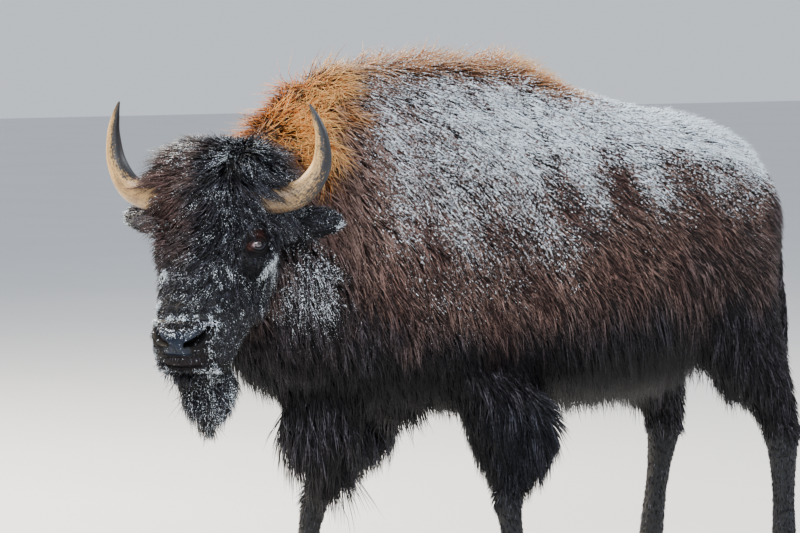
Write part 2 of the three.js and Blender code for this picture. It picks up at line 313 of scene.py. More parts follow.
# ---- shader wrapper
@dataclass(frozen=True)
class Val:
    """A socket in a material's node tree, whose arithmetic adds Math nodes."""

    sheet: "Sheet"
    socket: bpy.types.NodeSocket

    def _math(self, how: str, *others: "Val | float") -> "Val":
        """One Math node on this value and the others."""
        inputs = dict(enumerate((self, *others)))
        return self.sheet.node("ShaderNodeMath", {"operation": how}, inputs)

    def __add__(self, other: "Val | float") -> "Val":
        """The sum."""
        return self._math("ADD", other)

    __radd__ = __add__

    def __sub__(self, other: "Val | float") -> "Val":
        """The difference."""
        return self._math("SUBTRACT", other)

    def __rsub__(self, other: float) -> "Val":
        """The difference the other way round."""
        return self.sheet.node("ShaderNodeMath", {"operation": "SUBTRACT"}, {0: other, 1: self})

    def __mul__(self, other: "Val | float") -> "Val":
        """The product."""
        return self._math("MULTIPLY", other)

    __rmul__ = __mul__

    def power(self, other: float) -> "Val":
        """This value raised to a power."""
        return self._math("POWER", other)

    def most(self, other: "Val | float") -> "Val":
        """The larger of the two."""
        return self._math("MAXIMUM", other)

    def ramp(self, low: float, high: float) -> "Val":
        """A smooth step from 0 at low to 1 at high."""
        inputs = {"Value": self, "From Min": low, "From Max": high}
        return self.sheet.node("ShaderNodeMapRange", {"interpolation_type": "SMOOTHSTEP"}, inputs, "Result")


Colour = tuple[float, float, float]


@dataclass
class Sheet:
    """A material under construction."""

    name: str
    material: Finish = field(init=False)

    def __post_init__(self) -> None:
        """Starts the material with an empty tree."""
        self.material = bpy.data.materials.new(self.name)
        self.material.use_nodes = True
        self.material.node_tree.nodes.clear()

    def node(self, kind: str, settings: dict[str, Any], inputs: dict[Any, Any], out: Any = 0) -> Val:
        """Adds one node.

        Args:
            kind: The node's type.
            settings: Its properties, set first.
            inputs: A value or a link for each named or numbered socket.
            out: The output wanted.

        Returns:
            That output.
        """
        tree = self.material.node_tree
        made = tree.nodes.new(kind)
        for key, value in settings.items():
            setattr(made, key, value)
        for key, value in inputs.items():
            if isinstance(value, Val):
                tree.links.new(value.socket, made.inputs[key])
            elif isinstance(value, tuple) and len(value) == 3 and made.inputs[key].type == "RGBA":
                made.inputs[key].default_value = (*value, 1.0)
            else:
                made.inputs[key].default_value = value
        return Val(self, made.outputs[out])

    def place(self) -> Val:
        """Object coordinates."""
        return self.node("ShaderNodeTexCoord", {}, {}, "Object")

    def number(self, name: str) -> Val:
        """An attribute of one number."""
        return self.node("ShaderNodeAttribute", {"attribute_name": name}, {}, "Fac")

    def triple(self, name: str) -> tuple[Val, Val, Val]:
        """An attribute of three numbers, taken apart."""
        vector = self.node("ShaderNodeAttribute", {"attribute_name": name}, {}, "Vector")
        parts = [self.node("ShaderNodeSeparateXYZ", {}, {0: vector}, k) for k in range(3)]
        return parts[0], parts[1], parts[2]

    def noise(self, scale: float, detail: float = 2.0, stretch: Sequence[float] = (1, 1, 1)) -> Val:
        """A cloudy value round 0.5, with scale features in a metre."""
        where = self.place()
        if tuple(stretch) != (1, 1, 1):
            where = self.node("ShaderNodeMapping", {}, {"Vector": where, "Scale": tuple(stretch)})
        return self.node("ShaderNodeTexNoise", {}, {"Vector": where, "Scale": scale, "Detail": detail})

    def cells(self, scale: float) -> Val:
        """The distance to the middle of the nearest cell, with scale cells in a metre."""
        return self.node("ShaderNodeTexVoronoi", {}, {"Vector": self.place(), "Scale": scale})

    def mix(self, share: Val | float, low: Val | Colour, high: Val | Colour) -> Val:
        """One colour turning into another."""
        return self.node("ShaderNodeMix", {"data_type": "RGBA"}, {0: share, 6: low, 7: high}, 2)

    def bump(self, height: Val, strength: float, distance: float) -> Val:
        """A normal bent by a height."""
        return self.node(
            "ShaderNodeBump", {}, {"Strength": strength, "Distance": distance, "Height": height}
        )

    def finish(self, **sockets: Any) -> Finish:
        """Closes the tree with one Principled shader; sockets are named with _ for a space."""
        inputs = {key.replace("_", " "): value for key, value in sockets.items()}
        shader = self.node("ShaderNodeBsdfPrincipled", {}, inputs)
        tree = self.material.node_tree
        out = tree.nodes.new("ShaderNodeOutputMaterial")
        tree.links.new(shader.socket, out.inputs["Surface"])
        return self.material


# ---- finishes
@dataclass(frozen=True)
class HairFinish:
    """Hair, from a vertex's markings: (tone, along, snow) and (gold, dark, red)."""

    brown: Colour = (0.025, 0.0114, 0.0098)
    tan: Colour = (0.39, 0.235, 0.186)
    black: Colour = (0.0032, 0.0032, 0.0050)
    # Slate: the lighter strands of the black hair, partly their own colour and partly a painted bluish
    # sheen.
    slate: Colour = (0.085, 0.086, 0.115)
    rust: Colour = (0.160, 0.054, 0.042)
    umber: Colour = (0.070, 0.020, 0.008)
    # Gold and straw: the nape's golden hair and its pale tips, partly its own colour and partly painted
    # sunlight through the hair; umber is its dark ground.
    gold: Colour = (0.66, 0.190, 0.024)
    straw: Colour = (0.96, 0.58, 0.195)
    snow: Colour = (0.86, 0.94, 1.0)
    ice: Colour = (0.55, 0.67, 0.84)

    def colour(self, sheet: Sheet) -> tuple[Val, Val]:
        """The hair's colour, and how snowy each place is.

        Args:
            sheet: The material to add to.

        Returns:
            The colour and the share of snow.
        """
        tone, along, snow = sheet.triple("coat_a")
        gold, dark, red = sheet.triple("coat_b")
        streak = sheet.noise(130.0, 3.0)
        light = (tone * 1.35 + along * 0.45 + streak * 1.5 - 1.42).ramp(0.05, 1.05)
        hair = sheet.mix(light, self.brown, self.tan)
        hair = sheet.mix(red * 0.8, hair, sheet.mix(light, self.brown, self.rust))
        deep = sheet.mix(light.power(2.2), self.black, self.slate)
        hair = sheet.mix(dark, hair, deep)
        # How golden or pale the golden hair is: partly its own colour, partly painted sunlight.
        glow = tone * 0.85 + along * 0.60 + streak * 1.6 - 1.05
        bright = sheet.mix(glow.ramp(0.0, 0.36), self.umber, self.gold)
        bright = sheet.mix(glow.ramp(0.46, 1.05), bright, self.straw)
        hair = sheet.mix(gold, hair, bright)
        # Painted shade: every tuft is darkened towards black at its root, where the hair shades itself.
        hair = sheet.mix(0.80 - 0.80 * along.ramp(0.0, 0.62), hair, (0.0, 0.0, 0.0))
        flakes = sheet.noise(120.0, 2.0)
        flakes = flakes + dark * (sheet.noise(260.0, 1.0) - flakes) * 0.8
        white = (flakes * 22.0 + snow * 8.0 - 17.4).ramp(-0.25, 0.30)
        frost = sheet.mix(sheet.noise(320.0, 1.0).ramp(0.2, 0.52), self.ice, self.snow)
        return sheet.mix(white, hair, frost), white

    def material(self, name: str) -> Finish:
        """The finish of the tufts."""
        sheet = Sheet(name)
        colour, white = self.colour(sheet)
        fine = sheet.noise(900.0, 1.0)
        return sheet.finish(
            Base_Color=colour, Roughness=0.44 + white * 0.4, Normal=sheet.bump(fine, 0.25, 0.001),
            Specular_IOR_Level=0.20,
        )


@dataclass(frozen=True)
class SkinFinish:
    """The skin under the coat: the coat's markings darkened as painted shade under the hair, bare dark skin
    round the eyes and the nose.
    """

    hair: HairFinish = HairFinish()
    bare: Colour = (0.0085, 0.0070, 0.0085)
    flush: Colour = (0.056, 0.022, 0.018)
    pad: Colour = (0.008, 0.011, 0.018)

    def material(self, name: str) -> Finish:
        """The finish of the skin."""
        sheet = Sheet(name)
        colour, _ = self.hair.colour(sheet)
        bare, flush, pad = sheet.triple("skin_bare")
        # Painted shade: the skin's hair colour is darkened where the coat covers it.
        under = sheet.mix(0.45, colour, (0.0, 0.0, 0.0))
        mottle = sheet.noise(120.0, 3.0)
        naked = sheet.mix(flush * mottle.ramp(0.3, 0.7), self.bare, self.flush)
        naked = sheet.mix(pad, naked, self.pad)
        pores = sheet.cells(420.0)
        fibres = sheet.noise(260.0, 4.0, (1.0, 1.0, 0.35))
        height = fibres * (1.0 - bare) + pores * (0.6 * bare)
        return sheet.finish(
            Base_Color=sheet.mix(bare, under, naked), Roughness=0.75 - bare * 0.2 - pad * 0.28,
            Normal=sheet.bump(height, 0.5, 0.002),
        )


@dataclass(frozen=True)
class HornFinish:
    """Horn: tan at the root with dark streaks, black towards the tip and on the animal's left side, there
    partly its own colour and partly painted shade; the near horn's root is darker with wear and painted
    shade.
    """

    tan: Colour = (0.30, 0.165, 0.062)
    pale: Colour = (0.50, 0.295, 0.105)
    umber: Colour = (0.050, 0.034, 0.023)
    black: Colour = (0.008, 0.008, 0.010)

    def material(self, name: str) -> Finish:
        """The finish of a horn, from its attribute (along, how far it faces the animal's left, wear with
        painted shade).
        """
        sheet = Sheet(name)
        along, inner, wear_and_shade = sheet.triple("horn_lie")
        way = sheet.node("ShaderNodeAttribute", {"attribute_name": "horn_way"}, {}, "Vector")
        grain, fine = (
            sheet.node("ShaderNodeTexNoise", {}, {"Vector": way, "Scale": scale, "Detail": 5.0})
            for scale in (2.4, 9.0)
        )
        blotch = sheet.noise(26.0, 4.0)
        speck = sheet.noise(160.0, 4.0)
        base = sheet.mix((blotch + 0.30 * along).ramp(0.40, 0.72), self.tan, self.pale)
        base = sheet.mix((grain - 0.16 * along).ramp(0.38, 0.66) * 0.65, base, self.umber)
        base = sheet.mix((fine - 0.10 * along).ramp(0.44, 0.68) * 0.55, base, self.umber)
        base = sheet.mix((speck - 0.10 * along).ramp(0.44, 0.66) * 0.45, base, self.umber)
        # A dark mottle near the root: wear, laid far more strongly on the near horn's root as painted shade.
        worn = (1.0 - along.ramp(0.26, 0.48)) * (speck * 0.6 + blotch * 0.4).ramp(0.10, 0.50)
        base = sheet.mix(worn * wear_and_shade * 0.74, base, self.umber)
        rough = (blotch - 0.5) * 0.45 + (speck - 0.5) * 0.9 + (fine - 0.5) * 0.7
        # Blacker towards the tip and on the side facing the animal's left, away from the key light: partly
        # the horn's own colour, partly painted shade.
        edge = (inner * 1.05 * along.ramp(0.12, 0.34) + along * 0.62 + rough).ramp(0.66, 1.12)
        colour = sheet.mix(edge.most(along.ramp(0.84, 0.97) * 0.9), base, self.black)
        rings = sheet.node("ShaderNodeMath", {"operation": "SINE"}, {0: along * 150.0 + blotch * 6.0})
        root = 1.0 - along.ramp(0.10, 0.42)
        height = rings * root * 0.5 + grain * 1.2 + fine * 0.8
        return sheet.finish(
            Base_Color=colour, Roughness=0.36 + grain * 0.25, Normal=sheet.bump(height, 0.35, 0.0015),
            Specular_IOR_Level=0.45,
        )


@dataclass(frozen=True)
class HoofFinish:
    """Dark hoof, worn paler at its lower edge."""

    dark: Colour = (0.028, 0.024, 0.022)
    worn: Colour = (0.12, 0.10, 0.085)

    def material(self, name: str) -> Finish:
        """The finish of the hooves."""
        sheet = Sheet(name)
        low = 1.0 - sheet.number("rise").ramp(0.0, 0.35)
        grain = sheet.noise(120.0, 4.0, (1.0, 1.0, 0.15))
        return sheet.finish(
            Base_Color=sheet.mix(low * grain.ramp(0.35, 0.65), self.dark, self.worn),
            Roughness=0.45 + low * 0.2, Normal=sheet.bump(grain, 0.4, 0.001),
        )


@dataclass(frozen=True)
class EyeFinish:
    """A wet eye: dark oval pupil, brown iris, a thin smoky rim and a pale corner of white."""

    pupil: Colour = (0.002, 0.002, 0.003)
    iris: Colour = (0.012, 0.006, 0.007)
    glow: Colour = (0.050, 0.026, 0.030)
    white: Colour = (0.34, 0.22, 0.23)

    def material(self, name: str) -> Finish:
        """The finish of an eyeball, from its attribute (out from the axis, level, upright)."""
        sheet = Sheet(name)
        away, level, upright = sheet.triple("eye_lie")
        oval = sheet.node(
            "ShaderNodeVectorMath",
            {"operation": "LENGTH"},
            {0: sheet.node("ShaderNodeCombineXYZ", {}, {0: level * 0.75, 1: upright * 1.25})},
            "Value",
        )
        fibres = sheet.noise(900.0, 2.0)
        iris = sheet.mix((away + fibres * 0.15).ramp(0.28, 0.62), self.iris, self.glow)
        iris = sheet.mix(away.ramp(0.56, 0.63), iris, self.pupil)
        colour = sheet.mix(1.0 - oval.ramp(0.22, 0.30), iris, self.pupil)
        colour = sheet.mix(away.ramp(0.74, 0.84), colour, self.white)
        return sheet.finish(
            Base_Color=colour, Roughness=0.12, Coat_Weight=1.0, Coat_Roughness=0.02,
            Specular_IOR_Level=0.6,
        )


@dataclass(frozen=True)
class LidFinish:
    """The bare lids: dark skin, a wet rim painted pale as its sheen, and a flushed inner corner."""

    dark: Colour = (0.0036, 0.0030, 0.0036)
    flush: Colour = (0.060, 0.023, 0.019)
    rim: Colour = (0.034, 0.036, 0.046)

    def material(self, name: str) -> Finish:
        """The finish of the lids, from their attribute (rim, corner, fold)."""
        sheet = Sheet(name)
        rim, corner, fold = sheet.triple("lid_lie")
        mottle = sheet.noise(220.0, 3.0)
        colour = sheet.mix(corner * mottle.ramp(0.2, 0.6), self.dark, self.flush)
        # Painted sheen: the wet rim is painted pale blue-grey, besides being glossier.
        colour = sheet.mix(rim, colour, self.rim)
        return sheet.finish(
            Base_Color=colour, Roughness=0.5 - rim * 0.3,
            Normal=sheet.bump(sheet.noise(500.0, 3.0) + fold * 0.5, 0.35, 0.0012),
            Specular_IOR_Level=0.12,
        )


@dataclass(frozen=True)
class NoseFinish:
    """The nose and lips: a moist slate pad with fine pebbles, pits painted near black as shade, brownish
    lips, and a painted highlight along the pad's top edge and the lip line.
    """

    pad: Colour = (0.0032, 0.0060, 0.0125)
    bloom_and_sheen: Colour = (0.011, 0.018, 0.034)
    pit: Colour = (0.0012, 0.0010, 0.0012)
    lip: Colour = (0.0065, 0.0045, 0.0055)
    fuzz: Colour = (0.0032, 0.0024, 0.0026)
    snow: Colour = (0.80, 0.86, 0.95)

    def material(self, name: str) -> Finish:
        """The finish of the nose, from its attributes (pad, pit, lip) and (frost, painted highlight, -)."""
        sheet = Sheet(name)
        pad, pit, lip = sheet.triple("nose_a")
        frost, edge, _ = sheet.triple("nose_b")
        cloud = sheet.noise(38.0, 3.0)
        pebble = sheet.cells(430.0)
        # Lighter bluish bloom: a cloudy bloom of the pad's own, and a painted highlight along the pad's top
        # edge and the lip line.
        wet = sheet.mix(cloud.ramp(0.35, 0.7) * 0.5 + edge * 0.8, self.pad, self.bloom_and_sheen)
        colour = sheet.mix(pad, self.fuzz, wet)
        colour = sheet.mix(lip, colour, self.lip)
        # Painted shade: the nostril pits and the ring round them are near black.
        colour = sheet.mix(pit, colour, self.pit)
        flakes = sheet.noise(260.0, 2.0) * 0.6 + sheet.noise(70.0, 2.0) * 0.4
        white = (flakes * 20.0 + frost * 3.0 - 13.4).ramp(-0.2, 0.4)
        colour = sheet.mix(white, colour, self.snow)
        return sheet.finish(
            Base_Color=colour, Roughness=0.62 - pad * 0.30 + white * 0.2,
            Normal=sheet.bump(pebble * pad + sheet.noise(500.0, 2.0) * 0.4, 0.4, 0.0012),
            Coat_Weight=pad * 0.12, Coat_Roughness=0.25, Specular_IOR_Level=0.10,
        )


EYE_LOOK = np.array([0.80, 0.60, 0.0])
EYE_NOSEWARD = np.array([-0.60, 0.80, 0.0])
# The muzzle's front seen from the side: up, forward.
NOSE_PROFILE = (
    (-0.56, 0.130), (-0.520, 0.180), (-0.490, 0.214), (-0.460, 0.226), (-0.430, 0.243),
    (-0.392, 0.241), (-0.335, 0.210), (-0.28, 0.190),
)


# The nostril's inner edge: share along it, then distance from the middle, and up.
NOSTRIL = ((0, 0.026, -0.4165), (0.33, 0.045, -0.407), (0.68, 0.064, -0.390), (1, 0.0785, -0.364))


def in_socket(local: Array, sign: int | Array) -> tuple[Array, Array, Array]:
    """The head frame's places seen from an eye.

    Args:
        local: Rows of side, forward and up.
        sign: 1 for the left eye and -1 for the right.

    Returns:
        How far each is towards the nose, up, and out along the way the eye looks.
    """
    off = np.column_stack([local[:, 0] * sign, local[:, 1:]]) - EYE_PLACE
    return off @ EYE_NOSEWARD, off[:, 2], off @ EYE_LOOK


def nose_front(side: Array, up: Array) -> Array:
    """How far forward the muzzle's front is: its profile, less a circle's fall to the sides."""
    profile = through(NOSE_PROFILE, np.clip(up, -0.56, -0.28))[:, 0]
    lean = np.clip(np.abs(side) / 0.108, 0, 1)
    return profile - 0.082 * (1 - np.sqrt(1 - lean**2 * 0.999))


@dataclass(frozen=True)
class Spots:
    """Places on the surface, with what their markings are worked out from.

    wave and small are a slow and a quick waviness for the markings' borders, drop is the
    depth under the back's outline, and hip grows back over the hip.
    """

    place: Array
    local: Array
    normals: Array
    share: Fields
    wave: Array
    small: Array
    drop: Array
    hip: Array


@dataclass
class Markings:
    """Where the coat is golden, partly with painted sunlight, dark, reddish or snowy, and where the skin is
    bare.
    """

    head: HeadFrame

    def top(self, y: Array) -> Array:
        """The height of the back's outline along the body."""
        keys = (
            (-0.93, 1.452), (-0.835, 1.525), (-0.69, 1.655), (-0.53, 1.738), (-0.28, 1.750),
            (0.02, 1.738), (0.30, 1.665), (0.60, 1.592), (0.88, 1.528), (1.07, 1.446),
            (1.175, 1.325), (1.25, 1.20),
        )
        return through(keys, np.clip(y, -0.93, 1.25))[:, 0]

    def at(self, points: Array, normals: Array, weights: Array) -> Fields:
        """The markings at each place.

        Args:
            points: The places.
            normals: The surface's normal at each of them.
            weights: The regions' shares of each of them.

        Returns:
            The shares of gold, dark, red and pale hair, and the amount of snow.
        """
        place, local = points - self.head.shift, self.head.local(points)
        x, y, z = place.T
        spots = Spots(
            place=place,
            local=local,
            normals=normals,
            share=shares(weights),
            wave=smooth_noise(points, 0.22, 3),
            small=smooth_noise(points, 0.07, 4),
            drop=self.top(y) - z,
            hip=RUMPWARD[0] * np.abs(x) + RUMPWARD[1] * y,
        )
        face, body = spots.share["face"], 1 - spots.share["face"]
        nape, gold = self._gold(spots)
        dark = self._dark(spots, blended(weights, "dark")) * (1 - gold)
        dark = np.maximum(dark, ramp(spots.share["ear"], 0.0, 0.12))
        lidded = self.lidded(local)
        red = self._red(spots, lidded)
        dark = dark * (1 - 0.55 * np.clip(red, 0, 1) * face)
        snow = self._body_snow(spots, nape, gold)
        patchy = np.clip(0.80 + 0.42 * smooth_noise(points, 0.05, 6), 0.05, 1.5)
        snow = np.clip(snow + face * self._face_snow(spots) * patchy, 0, 1.25) * (1 - lidded)
        pale = body * ramp(y + 0.05 * spots.small, -0.26, -0.46)
        pale = pale * ramp(z + 0.04 * spots.wave, 1.05, 1.30)
        return {"gold": gold, "dark": dark, "red": np.clip(red, 0, 1), "snow": snow, "pale": pale}

    def _dark(self, spots: Spots, own: Array) -> Array:
        """Black hair: the regions' own, low on the body, on the throat and low on the hips."""
        y, z = spots.place[:, 1], spots.place[:, 2]
        body = 1 - spots.share["face"]
        low = ramp(z + 0.03 * spots.wave - 0.05 * ramp(y, 0.0, 0.3), 1.06, 0.86)
        height = z + 0.03 * spots.small
        throat = ramp(y, -0.45, -0.75) * ramp(height, 1.34, 1.14)
        chest = ramp(y + 0.05 * spots.small, -0.32, -0.56) * ramp(height, 1.13, 1.00)
        dark = np.maximum(np.maximum(own, low * 0.95), np.maximum(throat, chest) * body * 0.9)
        dark = np.maximum(dark, 0.72 * body * ramp(spots.hip, 0.93, 1.01))
        thigh = 0.55 * body * ramp(spots.hip, 0.56, 0.72) * ramp(z + 0.05 * spots.wave, 1.30, 1.10)
        return np.maximum(dark, thigh)

    def _gold(self, spots: Spots) -> Pair:
        """The nape's share of golden hair, and all of it: the nape's and the back's edge's. The back's edge
        is painted sunlight, and the gold is painted darker where it faces the key light.
        """
        x, y, z = spots.place.T
        nape = ramp(y + 0.05 * spots.small, -0.46, -0.68) * ramp(z + 0.05 * spots.wave, 1.42, 1.54)
        nape = nape * ramp(spots.hip + 0.04 * spots.small, -0.30, -0.42)
        nape = nape * ramp(np.abs(x - 0.03) + 0.03 * spots.small, 0.42, 0.22)
        # Painted sunlight: a golden rim along the top of the back's outline, on faces turned up.
        sunlit_top = ramp(spots.normals[:, 2], 0.45, 0.85)
        rim = ramp(spots.drop, 0.10, 0.0) * sunlit_top * ramp(y, 0.55, 0.30)
        gold = np.clip(np.maximum(nape, 0.75 * rim), 0, 1) * (1 - spots.share["face"])
        # Painted shade: golden hair that faces the key light is made less golden.
        ahead = spots.normals @ KEY_LIGHT_SIDE
        return nape, gold * (1 - 0.65 * ramp(ahead + 0.1 * spots.small, 0.1, 0.7))

    def _red(self, spots: Spots, lidded: Array) -> Array:
        """Red-brown hair: the right half of the forelock, and patches over the body."""
        side, forward, up = spots.local.T
        face, body = spots.share["face"], 1 - spots.share["face"]
        red = face * ramp(side + 0.03 * spots.small, 0.04, -0.10) * ramp(up, -0.24, -0.08)
        red = red * ramp(forward, -0.10, 0.02) * (1 - lidded) * ramp(spots.share["ear"], 0.2, 0.0)
        red = red * ramp(side, -0.20, -0.165) * (1 - ramp(up, 0.02, -0.04) * ramp(side, -0.10, -0.14))
        return red + body * 0.5 * ramp(spots.wave, -0.3, 1.2)

    def _body_snow(self, spots: Spots, nape: Array, gold: Array) -> Array:
        """Snow behind the head: a saddle on the back, a thin spread down the sides, the rump.

        A veil of it lies on the mane beside the cheeks, and there is little on the nape.
        """
        y, drop, wave, small = spots.place[:, 1], spots.drop, spots.wave, spots.small
        side, forward, up = spots.local.T
        body = 1 - spots.share["face"]
        saddle = ramp(y + 0.07 * wave, -0.45, 0.15) * ramp(drop + 0.04 * wave, 0.47, 0.12)
        saddle = saddle * (1 - 0.45 * ramp(y, 0.45, 0.70) * ramp(drop, 0.10, 0.17))
        reach = drop + 0.07 * wave + 0.35 * ramp(y, 0.0, 0.45)
        spread = ramp(reach, 1.05, 0.35) * ramp(y, -0.72, -0.40)
        spread = spread * (1 - 0.27 * ramp(y, 0.45, 0.70) * ramp(drop, 0.10, 0.17))
        crest = ramp(drop, 0.05, 0.16) + ramp(y, 0.15, 0.55)
        rump = ramp(y, 0.35, 0.75) * ramp(drop, 0.17, 0.07)
        snow = 0.46 * saddle * np.clip(crest, 0, 1) + 0.80 * spread * (1 - 0.8 * gold) + 0.42 * rump
        snow = body * snow * (1 - ramp(spots.hip + 0.04 * small, 0.93, 1.04))
        across = ASIDE[0] * np.abs(side) + ASIDE[1] * forward
        veil = ramp(across, 0.12, 0.17) * ramp(across + 0.03 * small, 0.40, 0.33)
        veil = veil * ramp(up + 0.03 * small, -0.41, -0.29) * ramp(up, -0.08, -0.14)
        snow = np.maximum(snow, body * 0.71 * veil)
        return snow * (1 - 0.7 * nape) + 0.10 * small * snow

    def _face_snow(self, spots: Spots) -> Array:
        """Snow on the face: at each place the deepest of these."""
        side, forward, up = spots.local.T
        apart = np.abs(side)
        crown = 0.22 * ramp(up, 0.06, 0.13) + 0.40 * ramp(up, -0.26, 0.02)
        bridge = 0.58 * ramp(np.abs(side - 0.02), 0.10, 0.04) * ramp(up, -0.12, -0.20)
        edge = 1.00 * ramp(side, -0.05, -0.09) * ramp(up, -0.20, -0.27) * ramp(forward, 0.02, 0.10)
        cheek = 0.92 * ramp(np.abs(apart - 0.175 - 0.12 * (up + 0.2)), 0.045, 0.012)
        cheek = cheek * ramp(forward, -0.16, -0.06) * ramp(up, -0.36, -0.25) * ramp(up, -0.12, -0.17)
        under_eye = 1.08 * bell((apart - 0.088) / 0.026, (up + 0.215) / 0.045)
        muzzle = 0.96 * ramp(up, -0.378, -0.360) * ramp(up, -0.318, -0.334) * ramp(forward, 0.08, 0.16)
        muzzle = muzzle * ramp(side, 0.105, 0.075)
        ear_tips = spots.share["ear"] * (0.30 + 0.95 * ramp(apart, 0.315, 0.345))
        chin = 0.62 * np.maximum(spots.share["beard"], spots.share["jaw"])
        dusting = np.full_like(side, 0.46)
        return np.maximum.reduce([crown, bridge, edge, cheek, under_eye, muzzle, ear_tips, chin, dusting])

    def lidded(self, local: Array) -> Array:
        """The share of the short dark hair in a tall oval round each eye."""
        fore, up, out = in_socket(local, np.sign(local[:, 0]))
        apart = np.hypot((fore - 0.012) / 0.050, (up + 0.006) / 0.078)
        return ramp(apart, 1.12, 0.88) * (out > -0.09)

    def bare(self, points: Array) -> Array:
        """Bare skin: its share, how flushed it is and whether it is the nose's."""
        local = self.head.local(points)
        bare = np.zeros(len(points))
        flush = np.zeros(len(points))
        for sign in (1, -1):
            fore, up, out = in_socket(local, sign)
            apart = np.hypot((fore - 0.004) / 1.05, up - 0.004)
            near = ramp(apart, 0.052, 0.040) * (out > -0.06)
            bare = np.maximum(bare, near)
            flush = np.maximum(flush, near * ramp(up, 0.012, 0.034))
        side, forward, up = local.T
        wide = 0.078 - 0.020 * ramp(up, -0.415, -0.445)
        rise = -0.386 + 0.020 * ramp(np.abs(side), 0.03, 0.07)
        pad = ramp(up - rise, 0.004, -0.003) * ramp(up, -0.500, -0.488)
        pad = pad * ramp(np.abs(side), wide + 0.008, wide - 0.004) * (forward > 0.10)
        return np.stack([np.maximum(bare, pad), flush, pad], axis=1)


# ---- the coat's regions
@dataclass(frozen=True)
class Region:
    """How the coat grows on one part of the body.

    depth is how far the skin lies under the tips, length, width and count (in a square metre)
    are the tufts', way is the lie (out to the side, back, up), dark is the share of black hair.
    """

    nodes: tuple[str, ...]
    depth: float
    length: float
    width: float
    count: float
    way: tuple[float, float, float]
    dark: float


def sided(name: str, sign: int) -> str:
    """A name with its side: the left for a sign of 1, the right for -1."""
    return name + ("_left" if sign > 0 else "_right")


def paired(name: str) -> tuple[str, str]:
    """A name on the left and on the right."""
    return sided(name, 1), sided(name, -1)


REGIONS: dict[str, Region] = {
    "head": Region(("head",), 0.038, 0.068, 0.0030, 48000, (0.0, 0.0, -1.0), 1.0),
    "muzzle": Region(("muzzle",), 0.009, 0.022, 0.0025, 84000, (0.15, 0.1, -1.0), 1.0),
    "jaw": Region(("jaw",), 0.014, 0.034, 0.0028, 60000, (0.0, 0.1, -1.0), 1.0),
    "beard": Region(("beard",), 0.034, 0.088, 0.0034, 42000, (0.0, 0.05, -1.0), 1.0),
    "ear": Region(paired("ear"), 0.013, 0.030, 0.0030, 52000, (1.0, 0.2, -0.1), 1.0),
    "neck": Region(("neck",), 0.055, 0.110, 0.0043, 20000, (0.15, 0.50, -0.85), 0.35),
    "brisket": Region(("brisket_mane",), 0.060, 0.185, 0.0050, 18000, (0.0, 0.1, -1.0), 0.95),
    "fore": Region(("forequarters",), 0.045, 0.092, 0.0040, 20500, (0.0, 0.48, -0.87), 0.22),
    "barrel": Region(("barrel",), 0.028, 0.070, 0.0040, 16000, (0.0, 0.58, -0.80), 0.15),
    "hind": Region(("hindquarters",), 0.026, 0.064, 0.0040, 15800, (0.0, 0.60, -0.80), 0.2),
    "arm": Region(paired("upper_leg_front"), 0.050, 0.118, 0.0042, 18500, (0.0, 0.3, -1.0), 1.0),
    "thigh": Region(paired("upper_leg_hind"), 0.030, 0.080, 0.0046, 14500, (0.0, 0.35, -0.9), 0.8),
    "shank": Region(
        paired("lower_leg_front") + paired("lower_leg_hind"),
        0.008, 0.024, 0.0044, 14500, (0.0, 0.1, -1.0), 1.0,
    ),
    "tail": Region(("tail",), 0.012, 0.060, 0.0044, 26000, (0.0, 0.0, -1.0), 0.9),
}


FACE = ("head", "muzzle", "jaw", "beard", "ear")
FLESH = (
    "head", "muzzle", "jaw", "beard", *paired("ear"), "neck", "brisket_mane", "forequarters",
    "barrel", "hindquarters", "tail", *paired("upper_leg_front"), *paired("upper_leg_hind"),
    *paired("lower_leg_front"), *paired("lower_leg_hind"),
)


def shares(weights: Array) -> Fields:
    """Each region's share of every place, by its name; all the face's under "face"."""
    out = dict(zip(REGIONS, weights.T))
    out["face"] = sum(out[name] for name in FACE)
    return out


def blended(weights: Array, what: str) -> Array:
    """One of the regions' values, mixed at every place by the regions' shares."""
    return weights @ np.array([getattr(region, what) for region in REGIONS.values()])


def node_surface(name: str) -> Pair:
    """A CAD node's points, each written once, and its triangles."""
    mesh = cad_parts[name].data
    points, faces = points_of(mesh), triangles_of(mesh)
    _, first, back = np.unique(np.round(points, 5), axis=0, return_index=True, return_inverse=True)
    return points[first], back.reshape(-1)[faces]


def in_triangle(rng: Random, count: int) -> Pair:
    """The shares of a triangle's second and third corner, for places anywhere in it."""
    u, v = rng.random(count), rng.random(count)
    return np.where(u + v > 1, 1 - u, u), np.where(u + v > 1, 1 - v, v)


def scattered(points: Array, triangles: Array, gap: float, seed: int) -> Array:
    """Places spread over a surface, about one in each square of that side."""
    rng = np.random.default_rng(seed)
    a, b, c = (points[triangles[:, k]] for k in range(3))
    area = np.linalg.norm(np.cross(b - a, c - a), axis=1) / 2
    total = area.cumsum()
    pick = np.searchsorted(total, (np.arange(int(total[-1] / gap**2) + 1) + 0.5) * gap**2)
    pick = np.minimum(pick, len(area) - 1)
    u, v = in_triangle(rng, len(pick))
    return a[pick] + u[:, None] * (b - a)[pick] + v[:, None] * (c - a)[pick]


def nearest(points: Array, others: Array) -> Array:
    """The number of the nearest of the others to each point, worked out a block at a time."""
    squares = np.sum(others**2, axis=1).astype(np.float32)
    table = others.astype(np.float32).T
    blocks = np.array_split(points.astype(np.float32), max(1, len(points) // 4000))
    return np.concatenate([np.argmin(squares - 2 * (block @ table), axis=1) for block in blocks])


def edges_from(triangles: Array) -> Array:
    """Every edge of a set of triangles, once."""
    pairs = np.sort(np.concatenate([triangles[:, [0, 1]], triangles[:, [1, 2]], triangles[:, [2, 0]]]))
    code = np.unique(pairs[:, 0].astype(np.int64) * (pairs.max() + 1) + pairs[:, 1])
    return np.stack([code // (pairs.max() + 1), code % (pairs.max() + 1)], axis=1)


